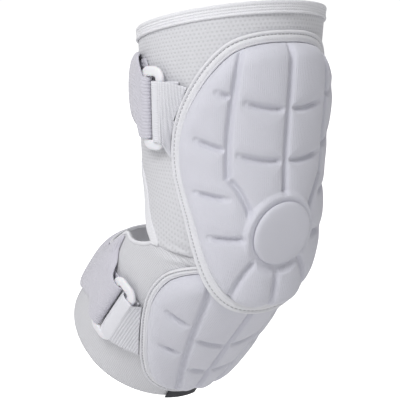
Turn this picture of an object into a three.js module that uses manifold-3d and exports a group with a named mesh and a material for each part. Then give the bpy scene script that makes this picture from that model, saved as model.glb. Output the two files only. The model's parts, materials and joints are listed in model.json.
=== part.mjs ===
// Baseball elbow guard: a padded sleeve with a stiff upper pad, a lower pad and two ring straps.
// Frame: millimetres, +Z up along the upper arm, +X out past the elbow's point, -X the crook.
// The origin is the centre of the arm's hollow where the elbow's bend begins.
import * as THREE from 'three';
import Module from 'manifold-3d';

// Driving sizes, in millimetres, and the bend in degrees
const cuffRadius = 57;
const upperLength = 104;
const lowerLength = 160;
const bendAngle = 45;
const sleeveWall = 2;
const clearance = 0.6;
const padHeight = 9.4;
const padEdge = 2.2;
const padRoll = 9;
const grooveDepth = 4.2;
const grooveWidth = 5.6;
const bindingWidth = 7;
const bindingHeight = 1.7;
const hemHeight = 7.2;
const badgeRadius = 20;
const badgeHeight = 3.6;
const strapWidth = 38;
const strapThickness = 1.6;
const strapSettle = 16;
const strapGap = 0.5;
const strapSlack = 0.6;
// Between a strap's edge and the crook's binding.
const rimClearance = 2.6;
const webbingSlack = 2;
const ringLength = 50;
const ringWidth = 20;
const ringBar = 6;
const ringThickness = 3;
const labelWidth = 24;
const labelHeight = 8.5;

// Sizes that follow from them
const bendRadius = cuffRadius * 1.09;
const bend = bendAngle * Math.PI / 180;
const bendLength = bendRadius * bend;

// The hollow's cross-sections down the arm. Place is a share of the upper length above the bend
// and of the lower length below it. Depth is toward the elbow's point and crook is away from it.
// Both, the width and the shift are shares of the cuff radius.
const sections = [
  { place: -1.03, depth: 0.965, crook: 0.94, width: 0.947, shift: -0.079 },
  { place: -0.75, depth: 0.965, crook: 0.885, width: 0.96, shift: -0.088 },
  { place: -0.5, depth: 0.965, crook: 0.83, width: 0.93, shift: -0.088 },
  { place: -0.31, depth: 0.957, crook: 0.84, width: 0.895, shift: -0.082 },
  { place: -0.155, depth: 0.95, crook: 0.91, width: 0.877, shift: -0.09 },
  { place: 0, depth: 0.945, crook: 0.965, width: 0.877, shift: -0.105 },
  { place: 0.18, depth: 0.945, crook: 0.99, width: 0.904, shift: -0.088 },
  { place: 0.6, depth: 0.965, crook: 0.99, width: 0.965, shift: -0.026 },
  { place: 1.03, depth: 1, crook: 1, width: 1, shift: 0 },
];

// How far the stiff upper pad stands off the sleeve, as a share of the cuff radius,
// at shares of the pad's reach below the bend
const standOff = [
  { place: -1.1, rise: 0.215 },
  { place: -0.93, rise: 0.19 },
  { place: -0.75, rise: 0.115 },
  { place: -0.55, rise: 0.052 },
  { place: -0.35, rise: 0.018 },
  { place: -0.15, rise: 0 },
  { place: 1.1, rise: 0 },
];

// Half outlines of the pads. Place is a share of the reach from the middle, side of the half turn.
const upperPad = {
  middle: 0, reach: 0.77 * upperLength, turn: 65,
  outline: [
    { place: 1, side: 0 }, { place: 0.985, side: 0.27 }, { place: 0.93, side: 0.48 },
    { place: 0.8, side: 0.66 }, { place: 0.6, side: 0.835 }, { place: 0.38, side: 0.96 },
    { place: 0.14, side: 1 }, { place: -0.12, side: 0.945 }, { place: -0.36, side: 0.835 },
    { place: -0.6, side: 0.69 }, { place: -0.8, side: 0.5 }, { place: -0.92, side: 0.28 },
    { place: -0.945, side: 0 },
  ],
};
const lowerPad = {
  middle: -0.775 * lowerLength, reach: 0.385 * lowerLength, turn: 58,
  outline: [
    { place: 1, side: 0 }, { place: 0.985, side: 0.34 }, { place: 0.915, side: 0.61 },
    { place: 0.76, side: 0.83 }, { place: 0.52, side: 0.965 }, { place: 0.24, side: 0.99 },
    { place: -0.03, side: 0.92 }, { place: -0.33, side: 0.79 }, { place: -0.63, side: 0.65 },
    { place: -0.85, side: 0.49 }, { place: -0.955, side: 0.26 }, { place: -0.975, side: 0 },
  ],
};

// Grooves pressed into the pads, each an arc from one place to another. Bow is the arc's rise
// toward the top as a share of its length. Twin grooves are repeated on the pad's other side.
const upperGrooves = [
  { from: 1.1, fromSide: 0, to: -0.12, toSide: 0, bow: 0, twin: false },
  { from: 1.0, fromSide: 0.42, to: 0.03, toSide: 0.53, bow: 0.025, twin: true },
  { from: 0.03, fromSide: 0.53, to: -0.29, toSide: 0.3, bow: -0.06, twin: true },
  { from: 0.53, fromSide: 0.03, to: 0.57, toSide: 0.38, bow: -0.06, twin: true },
  { from: 0.15, fromSide: 0.03, to: 0.19, toSide: 0.43, bow: -0.06, twin: true },
  { from: 0.615, fromSide: 0.48, to: 0.645, toSide: 0.62, bow: -0.05, twin: true },
  { from: 0.23, fromSide: 0.53, to: 0.3, toSide: 0.79, bow: -0.05, twin: true },
  { from: -0.135, fromSide: 0.53, to: -0.1, toSide: 0.8, bow: -0.03, twin: true },
  { from: -0.42, fromSide: 0.33, to: -0.455, toSide: 0.64, bow: -0.03, twin: true },
  { from: -0.57, fromSide: 0.22, to: -0.94, toSide: 0.34, bow: 0.12, twin: true },
  { from: -0.6, fromSide: 0, to: -0.95, toSide: 0, bow: 0, twin: false },
];
const lowerGrooves = [
  { from: 1.05, fromSide: 0, to: -0.93, toSide: 0, bow: 0, twin: false },
  { from: 0.95, fromSide: 0.58, to: -0.9, toSide: 0.21, bow: 0.02, twin: true },
  { from: 0.23, fromSide: 0.54, to: 0.27, toSide: 0.79, bow: -0.08, twin: true },
  { from: -0.22, fromSide: 0.46, to: -0.21, toSide: 0.65, bow: -0.08, twin: true },
  { from: -0.02, fromSide: 0.03, to: 0.03, toSide: 0.38, bow: -0.03, twin: true },
  { from: -0.51, fromSide: 0.03, to: -0.47, toSide: 0.24, bow: -0.03, twin: true },
];

// The crook opening's edges. Turn is in degrees from the elbow's point round to the crook.
// Upper and lower are shares of the bend's length from where the bend begins.
const crookEdges = [
  { turn: 82, upper: -0.875, lower: -0.875 },
  { turn: 85, upper: -0.86, lower: -0.95 },
  { turn: 92, upper: -0.8, lower: -1.11 },
  { turn: 100, upper: -0.67, lower: -1.22 },
  { turn: 109, upper: -0.4, lower: -1.28 },
  { turn: 119, upper: -0.16, lower: -1.66 },
  { turn: 130, upper: -0.04, lower: -1.96 },
  { turn: 150, upper: 0.07, lower: -2.11 },
  { turn: 180, upper: 0.1, lower: -2.19 },
];

// Strap edges round the arm. Turn is in degrees on the ring's side of the sleeve, and past 180
// on the other side. Upper and lower are shares of the strap's width from the ring's middle.
const upperStrapEdges = [
  { turn: 84, upper: 0.47, lower: -0.47 },
  { turn: 94, upper: 0.49, lower: -0.48 },
  { turn: 103, upper: 0.72, lower: -0.4 },
  { turn: 118, upper: 0.82, lower: -0.36 },
  { turn: 300, upper: 0.7, lower: -0.4 },
];
const lowerStrapEdges = [
  { turn: 76, upper: 0.51, lower: -0.51 },
  { turn: 90, upper: 0.54, lower: -0.53 },
  { turn: 100, upper: 0.66, lower: -0.61 },
  { turn: 104, upper: 0.74, lower: -0.66 },
  { turn: 108, upper: 0.98, lower: -0.73 },
  { turn: 120, upper: 0.9, lower: -0.97 },
  { turn: 136, upper: 0.6, lower: -1.34 },
  { turn: 180, upper: 0.4, lower: -1.28 },
  { turn: 230, upper: 0.45, lower: -0.8 },
  { turn: 300, upper: 0.5, lower: -0.5 },
];
const upperRing = { middle: 0.395 * upperLength, turn: 84.5, long: 1, drift: -0.13 };
const lowerRing = { middle: -0.647 * lowerLength, turn: 75.5, long: 1.05, drift: 0 };

// A smooth value of a table's column at a place between its rows
function lookUp(table, key, column, place) {
  const rows = [...table].sort((a, b) => a[key] - b[key]);
  const last = rows.length - 1;
  if (place <= rows[0][key]) return rows[0][column];
  if (place >= rows[last][key]) return rows[last][column];
  let i = 0;
  while (place > rows[i + 1][key]) i += 1;
  const a = rows[i];
  const b = rows[i + 1];
  const span = b[key] - a[key];
  const rise = (b[column] - a[column]) / span;
  const before = i > 0 ? (a[column] - rows[i - 1][column]) / (a[key] - rows[i - 1][key]) : rise;
  const after = i + 2 <= last ? (rows[i + 2][column] - b[column]) / (rows[i + 2][key] - b[key]) : rise;
  const slopeA = before * rise > 0 ? 2 * before * rise / (before + rise) : 0;
  const slopeB = rise * after > 0 ? 2 * rise * after / (rise + after) : 0;
  const t = (place - a[key]) / span;
  const t2 = t * t;
  const t3 = t2 * t;
  return a[column] * (2 * t3 - 3 * t2 + 1) + b[column] * (3 * t2 - 2 * t3)
    + span * (slopeA * (t3 - 2 * t2 + t) + slopeB * (t3 - t2));
}

const clamp = (value, low, high) => Math.min(Math.max(value, low), high);
const radians = (degrees) => degrees * Math.PI / 180;
const smooth = (value) => {
  const t = clamp(value, 0, 1);
  return t * t * (3 - 2 * t);
};

// The hollow's sizes to the point and the crook, its half width and its shift, at a length s
// from the start of the bend
function sectionAt(s) {
  const place = s / (s > 0 ? upperLength : lowerLength);
  return {
    depth: cuffRadius * lookUp(sections, 'place', 'depth', place),
    crook: cuffRadius * lookUp(sections, 'place', 'crook', place),
    width: cuffRadius * lookUp(sections, 'place', 'width', place),
    shift: cuffRadius * lookUp(sections, 'place', 'shift', place),
  };
}

// A point on the arm: s along the hollow, turn in degrees from the elbow's point, off outward
function armPoint(s, turn, off) {
  const size = sectionAt(s);
  const swing = clamp(-s / bendRadius, 0, bend);
  const past = Math.max(-s - bendLength, 0);
  const across = Math.cos(radians(turn));
  const reach = size.shift + ((across > 0 ? size.depth : size.crook) + off) * across;
  return [
    (reach + bendRadius) * Math.cos(swing) - bendRadius - Math.sin(bend) * past,
    (size.width + off) * Math.sin(radians(turn)),
    Math.max(s, 0) - (reach + bendRadius) * Math.sin(swing) - Math.cos(bend) * past,
  ];
}

// How much longer the arm's skin is than its axis at a place on the bend
function stretchAt(s, turn) {
  if (s > 0 || s < -bendLength) return 1;
  const size = sectionAt(s);
  const across = Math.cos(radians(turn));
  return (bendRadius + size.shift + (across > 0 ? size.depth : size.crook) * across) / bendRadius;
}

// Lengths measured down the outer side of the elbow, turned into lengths along the hollow
const outerStretch = (bendRadius + 0.9 * cuffRadius) / bendRadius;
function alongArm(length) {
  if (length >= 0) return length;
  const inBend = bendLength * outerStretch;
  return length > -inBend ? length / outerStretch : -bendLength + length + inBend;
}

const turnLength = radians(1) * cuffRadius;

// The stand-off of the upper pad at a length down the outer side
const riseAt = (length) => cuffRadius
  * lookUp(standOff, 'place', 'rise', length / upperPad.reach);

// A pad's outline as a closed loop of flat points: x round the arm, y down the outer side
function outlineLoop(pad, count, grow) {
  const rows = pad.outline.map((row) => [row.side * pad.turn * turnLength,
    pad.middle + row.place * pad.reach]);
  const last = rows.length - 1;
  const whole = [...rows, ...rows.slice(1, last).reverse().map(([x, y]) => [-x, y])];
  const corners = whole.map(([x, y]) => new THREE.Vector3(x, y, 0));
  const curve = new THREE.CatmullRomCurve3(corners, true, 'centripetal');
  const points = curve.getSpacedPoints(count).slice(0, count);
  return points.map((point, i) => {
    const ahead = points[(i + 1) % count];
    const behind = points[(i + count - 1) % count];
    const dx = ahead.x - behind.x;
    const dy = ahead.y - behind.y;
    const size = Math.hypot(dx, dy);
    return [point.x - dy / size * grow, point.y + dx / size * grow];
  });
}

// Distance from a flat point to a closed loop, positive inside
function insideDistance(loop, x, y) {
  let best = Infinity;
  let inside = false;
  for (let i = 0, j = loop.length - 1; i < loop.length; j = i, i += 1) {
    const [ax, ay] = loop[j];
    const [bx, by] = loop[i];
    const dx = bx - ax;
    const dy = by - ay;
    const t = clamp(((x - ax) * dx + (y - ay) * dy) / (dx * dx + dy * dy), 0, 1);
    best = Math.min(best, Math.hypot(x - ax - dx * t, y - ay - dy * t));
    if ((ay > y) !== (by > y) && x < ax + (y - ay) / dy * dx) inside = !inside;
  }
  return inside ? best : -best;
}

// Grooves as flat polylines of a few steps each
function groovePaths(pad, grooves) {
  const paths = [];
  for (const row of grooves) {
    for (const hand of row.twin ? [1, -1] : [1]) {
      const ax = hand * row.fromSide * pad.turn * turnLength;
      const ay = pad.middle + row.from * pad.reach;
      const bx = hand * row.toSide * pad.turn * turnLength;
      const by = pad.middle + row.to * pad.reach;
      const size = Math.hypot(bx - ax, by - ay);
      const steps = row.bow === 0 ? 1 : 6;
      const path = [];
      for (let i = 0; i <= steps; i += 1) {
        const t = i / steps;
        const lift = 4 * t * (1 - t) * row.bow * size;
        const sideways = Math.abs(by - ay) > Math.abs(bx - ax);
        path.push([ax + (bx - ax) * t + (sideways ? hand * lift : 0),
          ay + (by - ay) * t + (sideways ? 0 : lift)]);
      }
      paths.push(path);
    }
  }
  return paths;
}

function pathDistance(path, x, y) {
  let best = Infinity;
  for (let i = 1; i < path.length; i += 1) {
    const [ax, ay] = path[i - 1];
    const dx = path[i][0] - ax;
    const dy = path[i][1] - ay;
    const t = clamp(((x - ax) * dx + (y - ay) * dy) / (dx * dx + dy * dy), 0, 1);
    best = Math.min(best, Math.hypot(x - ax - dx * t, y - ay - dy * t));
  }
  return best;
}

// Height of a puffed, grooved pad above its base at a flat point
function padTop(loop, paths, x, y) {
  const edge = clamp(insideDistance(loop, x, y) / padRoll, 0, 1);
  const full = padEdge + (padHeight - padEdge) * Math.sqrt(1 - (1 - edge) ** 2);
  let groove = 0;
  for (const path of paths) {
    groove = Math.max(groove, 1 - smooth(pathDistance(path, x, y) / (grooveWidth / 2)));
  }
  return full - Math.min(grooveDepth, full * 0.55) * groove;
}

// A mesh over a square of steps that is fine only where the surface turns
function finePatch(power, tolerance, place) {
  const size = 2 ** power;
  const wide = size + 1;
  const spots = [];
  for (let j = 0; j <= size; j += 1) {
    for (let i = 0; i <= size; i += 1) spots.push(place(i / size, j / size));
  }
  const at = (x, y) => y * wide + x;
  const halfWay = (a, b, c) => {
    const [p, q, r] = [spots[a], spots[b], spots[c]];
    return Math.hypot((p[0] + q[0]) / 2 - r[0], (p[1] + q[1]) / 2 - r[1], (p[2] + q[2]) / 2 - r[2]);
  };
  const errors = new Float64Array(wide * wide);
  const smallest = size * size;
  const total = smallest * 2 - 2;
  for (let i = total - 1; i >= 0; i -= 1) {
    let id = i + 2;
    let [ax, ay, bx, by, cx, cy] = [0, 0, 0, 0, 0, 0];
    if (id & 1) { bx = size; by = size; cx = size; } else { ax = size; ay = size; cy = size; }
    while ((id >>= 1) > 1) {
      const mx = (ax + bx) >> 1;
      const my = (ay + by) >> 1;
      if (id & 1) { bx = ax; by = ay; ax = cx; ay = cy; } else { ax = bx; ay = by; bx = cx; by = cy; }
      cx = mx;
      cy = my;
    }
    const mx = (ax + bx) >> 1;
    const my = (ay + by) >> 1;
    const middle = at(mx, my);
    let error = halfWay(at(ax, ay), at(bx, by), middle);
    if (i < total - smallest) {
      error = Math.max(error, errors[at((ax + cx) >> 1, (ay + cy) >> 1)],
        errors[at((bx + cx) >> 1, (by + cy) >> 1)]);
    }
    errors[middle] = Math.max(errors[middle], error);
  }
  const used = new Map();
  const points = [];
  const faces = [];
  const take = (x, y) => {
    const key = at(x, y);
    if (!used.has(key)) {
      used.set(key, points.length);
      points.push(spots[key]);
    }
    return used.get(key);
  };
  const visit = (ax, ay, bx, by, cx, cy) => {
    const mx = (ax + bx) >> 1;
    const my = (ay + by) >> 1;
    const reach = Math.abs(ax - cx) + Math.abs(ay - cy);
    if (reach > 1 && (errors[at(mx, my)] > tolerance || reach > size / 4)) {
      visit(cx, cy, ax, ay, mx, my);
      visit(bx, by, cx, cy, mx, my);
    } else {
      faces.push([take(ax, ay), take(bx, by), take(cx, cy)]);
    }
  };
  visit(0, 0, size, size, size, 0);
  visit(size, size, 0, 0, 0, size);
  const rim = [];
  const collect = (x, y, order) => {
    if (used.has(at(x, y))) rim.push({ order, index: used.get(at(x, y)) });
  };
  for (let i = 0; i < size; i += 1) {
    collect(i, 0, i / size);
    collect(size, i, 1 + i / size);
    collect(size - i, size, 2 + i / size);
    collect(0, size - i, 3 + i / size);
  }
  rim.sort((a, b) => a.order - b.order);
  return { points, faces, rim };
}

// A closed body between an upper and a lower patch over the same square
function bodyBetween(top, base) {
  const points = [...top.points, ...base.points];
  const shift = top.points.length;
  const faces = [...top.faces, ...base.faces.map(([a, b, c]) => [a + shift, c + shift, b + shift])];
  const [upper, lower] = [top.rim, base.rim];
  let [i, j] = [0, 0];
  while (i < upper.length || j < lower.length) {
    const a = upper[i % upper.length].index;
    const b = lower[j % lower.length].index + shift;
    const nextUpper = i + 1 < upper.length ? upper[i + 1].order : Infinity;
    const nextLower = j + 1 < lower.length ? lower[j + 1].order : Infinity;
    if (j >= lower.length || (i < upper.length && nextUpper <= nextLower)) {
      faces.push([a, upper[(i + 1) % upper.length].index, b]);
      i += 1;
    } else {
      faces.push([a, lower[(j + 1) % lower.length].index + shift, b]);
      j += 1;
    }
  }
  return { points, faces };
}

// Six times the volume that a closed body holds, negative when it is inside out
function signedVolume({ points, faces }) {
  let sum = 0;
  for (const [a, b, c] of faces) {
    const [p, q, r] = [points[a], points[b], points[c]];
    sum += p[0] * (q[1] * r[2] - q[2] * r[1]) - p[1] * (q[0] * r[2] - q[2] * r[0])
      + p[2] * (q[0] * r[1] - q[1] * r[0]);
  }
  return sum;
}

function outward(body) {
  if (signedVolume(body) > 0) return body;
  return { points: body.points, faces: body.faces.map(([a, b, c]) => [a, c, b]) };
}

// A closed body from rings of points that follow one another, closed in a loop or capped by strips
function bodyFromRings(rings, looped) {
  const count = rings[0].length;
  const points = rings.flat();
  const faces = [];
  const total = looped ? rings.length : rings.length - 1;
  for (let i = 0; i < total; i += 1) {
    const j = (i + 1) % rings.length;
    for (let k = 0; k < count; k += 1) {
      const n = (k + 1) % count;
      faces.push([i * count + k, j * count + k, j * count + n]);
      faces.push([i * count + k, j * count + n, i * count + n]);
    }
  }
  if (!looped) {
    const end = (rings.length - 1) * count;
    for (let k = 0; k + 1 < count / 2; k += 1) {
      const [a, b, c, d] = [k, k + 1, count - 2 - k, count - 1 - k];
      faces.push([a, b, c], [end + a, end + c, end + b]);
      if (c !== b) faces.push([a, c, d], [end + a, end + d, end + c]);
    }
  }
  return outward({ points, faces });
}

const wasm = await Module();
wasm.setup();

const toSolid = ({ points, faces }) => new wasm.Manifold(new wasm.Mesh({
  numProp: 3,
  vertProperties: new Float32Array(points.flat()),
  triVerts: new Uint32Array(faces.flat()),
}));

function fromSolid(solid) {
  const mesh = solid.getMesh();
  const points = [];
  for (let i = 0; i < mesh.vertProperties.length; i += mesh.numProp) {
    points.push([...mesh.vertProperties.slice(i, i + 3)]);
  }
  const faces = [];
  for (let i = 0; i < mesh.triVerts.length; i += 3) faces.push([...mesh.triVerts.slice(i, i + 3)]);
  return { points, faces };
}

// The same closed body with fewer faces: edges are drawn together where the shape changes least
function thinOut({ points, faces }, target) {
  const spots = points.map((p) => [...p]);
  const tris = faces.map((f) => [...f]);
  const around = spots.map(() => new Set());
  const forms = spots.map(() => new Float64Array(10));
  const alive = new Uint8Array(tris.length).fill(1);
  const stamp = new Uint32Array(spots.length);
  const crossOf = ([a, b, c], swap, to) => {
    const [p, q, r] = [a, b, c].map((v) => (v === swap ? to : spots[v]));
    const u = [q[0] - p[0], q[1] - p[1], q[2] - p[2]];
    const w = [r[0] - p[0], r[1] - p[1], r[2] - p[2]];
    return [u[1] * w[2] - u[2] * w[1], u[2] * w[0] - u[0] * w[2], u[0] * w[1] - u[1] * w[0]];
  };
  tris.forEach((tri, i) => {
    const n = crossOf(tri, -1);
    const size = Math.hypot(...n) || 1e-12;
    const [x, y, z] = n.map((v) => v / size);
    const p = spots[tri[0]];
    const d = -(x * p[0] + y * p[1] + z * p[2]);
    const form = [x * x, x * y, x * z, x * d, y * y, y * z, y * d, z * z, z * d, d * d];
    for (const v of tri) {
      around[v].add(i);
      form.forEach((value, k) => { forms[v][k] += value * size; });
    }
  });
  const costAt = (q, [x, y, z]) => q[0] * x * x + q[4] * y * y + q[7] * z * z + q[9]
    + 2 * (q[1] * x * y + q[2] * x * z + q[3] * x + q[5] * y * z + q[6] * y + q[8] * z);
  const heap = [];
  const push = (entry) => {
    let i = heap.push(entry) - 1;
    while (i > 0) {
      const up = (i - 1) >> 1;
      if (heap[up].cost <= heap[i].cost) break;
      [heap[up], heap[i]] = [heap[i], heap[up]];
      i = up;
    }
  };
  const pop = () => {
    const first = heap[0];
    const last = heap.pop();
    if (heap.length) {
      heap[0] = last;
      for (let i = 0; ;) {
        let low = i;
        for (const k of [2 * i + 1, 2 * i + 2]) {
          if (k < heap.length && heap[k].cost < heap[low].cost) low = k;
        }
        if (low === i) break;
        [heap[low], heap[i]] = [heap[i], heap[low]];
        i = low;
      }
    }
    return first;
  };
  const offer = (a, b) => {
    const q = forms[a].map((value, k) => value + forms[b][k]);
    const [p, r] = [spots[a], spots[b]];
    const choices = [p, r, [(p[0] + r[0]) / 2, (p[1] + r[1]) / 2, (p[2] + r[2]) / 2]];
    const [m0, m1, m2, m4, m5, m7] = [q[0], q[1], q[2], q[4], q[5], q[7]];
    const [c0, c1, c2] = [m4 * m7 - m5 * m5, m2 * m5 - m1 * m7, m1 * m5 - m2 * m4];
    const det = m0 * c0 + m1 * c1 + m2 * c2;
    const trace = (m0 + m4 + m7) / 3;
    if (Math.abs(det) > 1e-3 * trace ** 3) {
      const c3 = m0 * m7 - m2 * m2;
      const c4 = m1 * m2 - m0 * m5;
      const c5 = m0 * m4 - m1 * m1;
      choices.push([-(c0 * q[3] + c1 * q[6] + c2 * q[8]) / det,
        -(c1 * q[3] + c3 * q[6] + c4 * q[8]) / det, -(c2 * q[3] + c4 * q[6] + c5 * q[8]) / det]);
    }
    const scored = choices.map((to) => ({ to, cost: Math.max(costAt(q, to), 0) }));
    const best = scored.reduce((x, y) => (y.cost < x.cost ? y : x));
    const long = Math.hypot(p[0] - r[0], p[1] - r[1], p[2] - r[2]);
    push({ a, b, to: best.to, cost: best.cost + 1e-4 * long * long,
      stampA: stamp[a], stampB: stamp[b] });
  };
  const linked = (v) => {
    const found = new Set();
    for (const i of around[v]) for (const w of tris[i]) if (w !== v) found.add(w);
    return found;
  };
  tris.forEach((tri) => tri.forEach((a, k) => {
    const b = tri[(k + 1) % 3];
    if (a < b) offer(a, b);
  }));
  let left = tris.length;
  while (left > target && heap.length) {
    const { a, b, to, stampA, stampB } = pop();
    if (stamp[a] !== stampA || stamp[b] !== stampB || !around[a].size || !around[b].size) continue;
    const near = linked(a);
    const shared = [...linked(b)].filter((v) => near.has(v));
    if (!near.has(b) || shared.length !== 2) continue;
    const turns = (v, other) => [...around[v]].some((i) => {
      if (tris[i].includes(other)) return false;
      const before = crossOf(tris[i], -1);
      const after = crossOf(tris[i], v, to);
      const dot = before[0] * after[0] + before[1] * after[1] + before[2] * after[2];
      const size = Math.hypot(...after);
      const longest = Math.max(...tris[i].map((w, k) => {
        const [p, q] = [w, tris[i][(k + 1) % 3]].map((u) => (u === v ? to : spots[u]));
        return Math.hypot(p[0] - q[0], p[1] - q[1], p[2] - q[2]);
      }));
      return dot < 0.35 * Math.hypot(...before) * size || size < 0.06 * longest * longest;
    });
    if (turns(a, b) || turns(b, a)) continue;
    for (const i of [...around[b]]) {
      if (tris[i].includes(a)) {
        alive[i] = 0;
        left -= 1;
        for (const w of tris[i]) around[w].delete(i);
      } else {
        tris[i] = tris[i].map((w) => (w === b ? a : w));
        around[a].add(i);
      }
    }
    around[b] = new Set();
    spots[a] = to;
    forms[b].forEach((value, k) => { forms[a][k] += value; });
    stamp[a] += 1;
    stamp[b] += 1;
    for (const v of linked(a)) offer(Math.min(a, v), Math.max(a, v));
  }
  const kept = new Map();
  const out = [];
  const place = (v) => {
    if (!kept.has(v)) {
      kept.set(v, out.length);
      out.push(spots[v]);
    }
    return kept.get(v);
  };
  return { faces: tris.filter((_, i) => alive[i]).map((tri) => tri.map(place)), points: out };
}

// The part inside a loop drawn on the arm, as a closed body from well under to well over the pad
function outlineCutter(loop) {
  const rings = [[-6, 0], [-6, 0.5], [-6, 1], [30, 1], [50, 0.5], [50, 0]];
  const [cx, cy] = loop.reduce(([x, y], [px, py]) => [x + px / loop.length, y + py / loop.length],
    [0, 0]);
  const points = [];
  for (const [off, share] of rings) {
    for (const [x, y] of share === 0 ? [[cx, cy]] : loop) {
      const fx = cx + (x - cx) * share;
      const fy = cy + (y - cy) * share;
      points.push(armPoint(alongArm(fy), fx / turnLength, off));
    }
  }
  const n = loop.length;
  const faces = [];
  for (let k = 0; k < n; k += 1) {
    const m = (k + 1) % n;
    faces.push([0, 1 + m, 1 + k]);
    for (let r = 0; r < 3; r += 1) {
      const [a, b] = [1 + r * n, 1 + (r + 1) * n];
      faces.push([a + k, a + m, b + m], [a + k, b + m, b + k]);
    }
    faces.push([1 + 4 * n, 1 + 3 * n + k, 1 + 3 * n + m]);
  }
  return outward({ points, faces });
}

// The flat face under the badge, square to the pad at the badge's middle
const badgeSpot = { length: -0.375 * upperPad.reach, rise: 0.68 * padHeight };
const badgeBase = (() => {
  const s = alongArm(badgeSpot.length);
  const middle = armPoint(s, 0, clearance + riseAt(badgeSpot.length) + badgeSpot.rise);
  const swing = clamp(-s / bendRadius, 0, bend);
  return { middle, normal: [Math.cos(swing), 0, -Math.sin(swing)] };
})();

// Height over the base at which a place meets the badge's flat face
function badgeFloor(x, y) {
  const s = alongArm(y);
  const low = armPoint(s, x / turnLength, 0);
  const high = armPoint(s, x / turnLength, 10);
  const over = (p) => p.reduce((sum, v, i) => sum + (v - badgeBase.middle[i]) * badgeBase.normal[i], 0);
  const [a, b] = [over(low), over(high)];
  return -a / (b - a) * 10 - clearance - riseAt(y);
}

function padBody(pad, grooves, target, riseOf, withBadge) {
  const loop = outlineLoop(pad, 72, 0);
  const paths = groovePaths(pad, grooves);
  const margin = 3;
  const xs = loop.map(([x]) => x);
  const ys = loop.map(([, y]) => y);
  const [left, right] = [Math.min(...xs) - margin, Math.max(...xs) + margin];
  const [bottom, top] = [Math.min(...ys) - margin, Math.max(...ys) + margin];
  const flat = (u, v) => [left + (right - left) * u, bottom + (top - bottom) * v];
  const face = finePatch(7, 0.06, (u, v) => {
    const [x, y] = flat(u, v);
    let height = padTop(loop, paths, x, y);
    if (withBadge) {
      const away = Math.hypot(x, y - badgeSpot.length);
      const pocket = smooth((badgeRadius + 5 - away) / 3.6);
      if (pocket > 0) height += (badgeFloor(x, y) - height) * pocket;
    }
    return armPoint(alongArm(y), x / turnLength, clearance + riseOf(y) + height);
  });
  const back = finePatch(5, 0.12, (u, v) => {
    const [x, y] = flat(u, v);
    return armPoint(alongArm(y), x / turnLength, clearance + riseOf(y));
  });
  const slab = toSolid(outward(bodyBetween(face, back)));
  const cut = slab.intersect(toSolid(outlineCutter(loop))).decompose();
  return thinOut(fromSolid(cut.sort((a, b) => b.volume() - a.volume())[0]), target);
}

// A flat binding sewn round a pad's outline, rounded over the top
function bindingBody(pad, riseOf, widthShare) {
  const count = 64;
  const across = [
    { out: 0, up: 0 }, { out: 1, up: 0 }, { out: 1, up: 0.5 }, { out: 0.6, up: 1 },
    { out: 0, up: 0.9 },
  ];
  const inner = outlineLoop(pad, count, 0.5);
  const outer = outlineLoop(pad, count, 0.5 + bindingWidth * widthShare);
  const rings = inner.map(([ix, iy], i) => across.map(({ out, up }) => {
    const x = ix + (outer[i][0] - ix) * out;
    const y = iy + (outer[i][1] - iy) * out;
    return armPoint(alongArm(y), x / turnLength, clearance + riseOf(y) + bindingHeight * up);
  }));
  return bodyFromRings(rings, true);
}

// The half turn, in degrees, that a pad's binding reaches at a length along the hollow
function bindingTurn(pad, s, widthShare) {
  const loop = outlineLoop(pad, 120, 0.5 + bindingWidth * widthShare);
  let best = 0;
  for (let i = 0; i < loop.length; i += 1) {
    const [a, b] = [loop[i], loop[(i + 1) % loop.length]];
    const [sa, sb] = [alongArm(a[1]), alongArm(b[1])];
    if ((sa - s) * (sb - s) > 0 || sa === sb) continue;
    best = Math.max(best, Math.abs(a[0] + (b[0] - a[0]) * (s - sa) / (sb - sa)) / turnLength);
  }
  return best;
}

// The rims: the upper one slopes up toward the outer side, the lower one is nearly square
const topRim = (turn) => upperLength - 0.11 * upperLength * (1 - Math.cos(radians(turn)));
const lowRim = (turn) => -lowerLength * (1 - 0.012 * Math.cos(radians(turn)));

const crookHemWidth = bindingWidth * 0.64;
const crookEdge = (turn, column) => bendLength
  * lookUp(crookEdges, 'turn', column, Math.abs(turn > 180 ? 360 - turn : turn));

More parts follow.
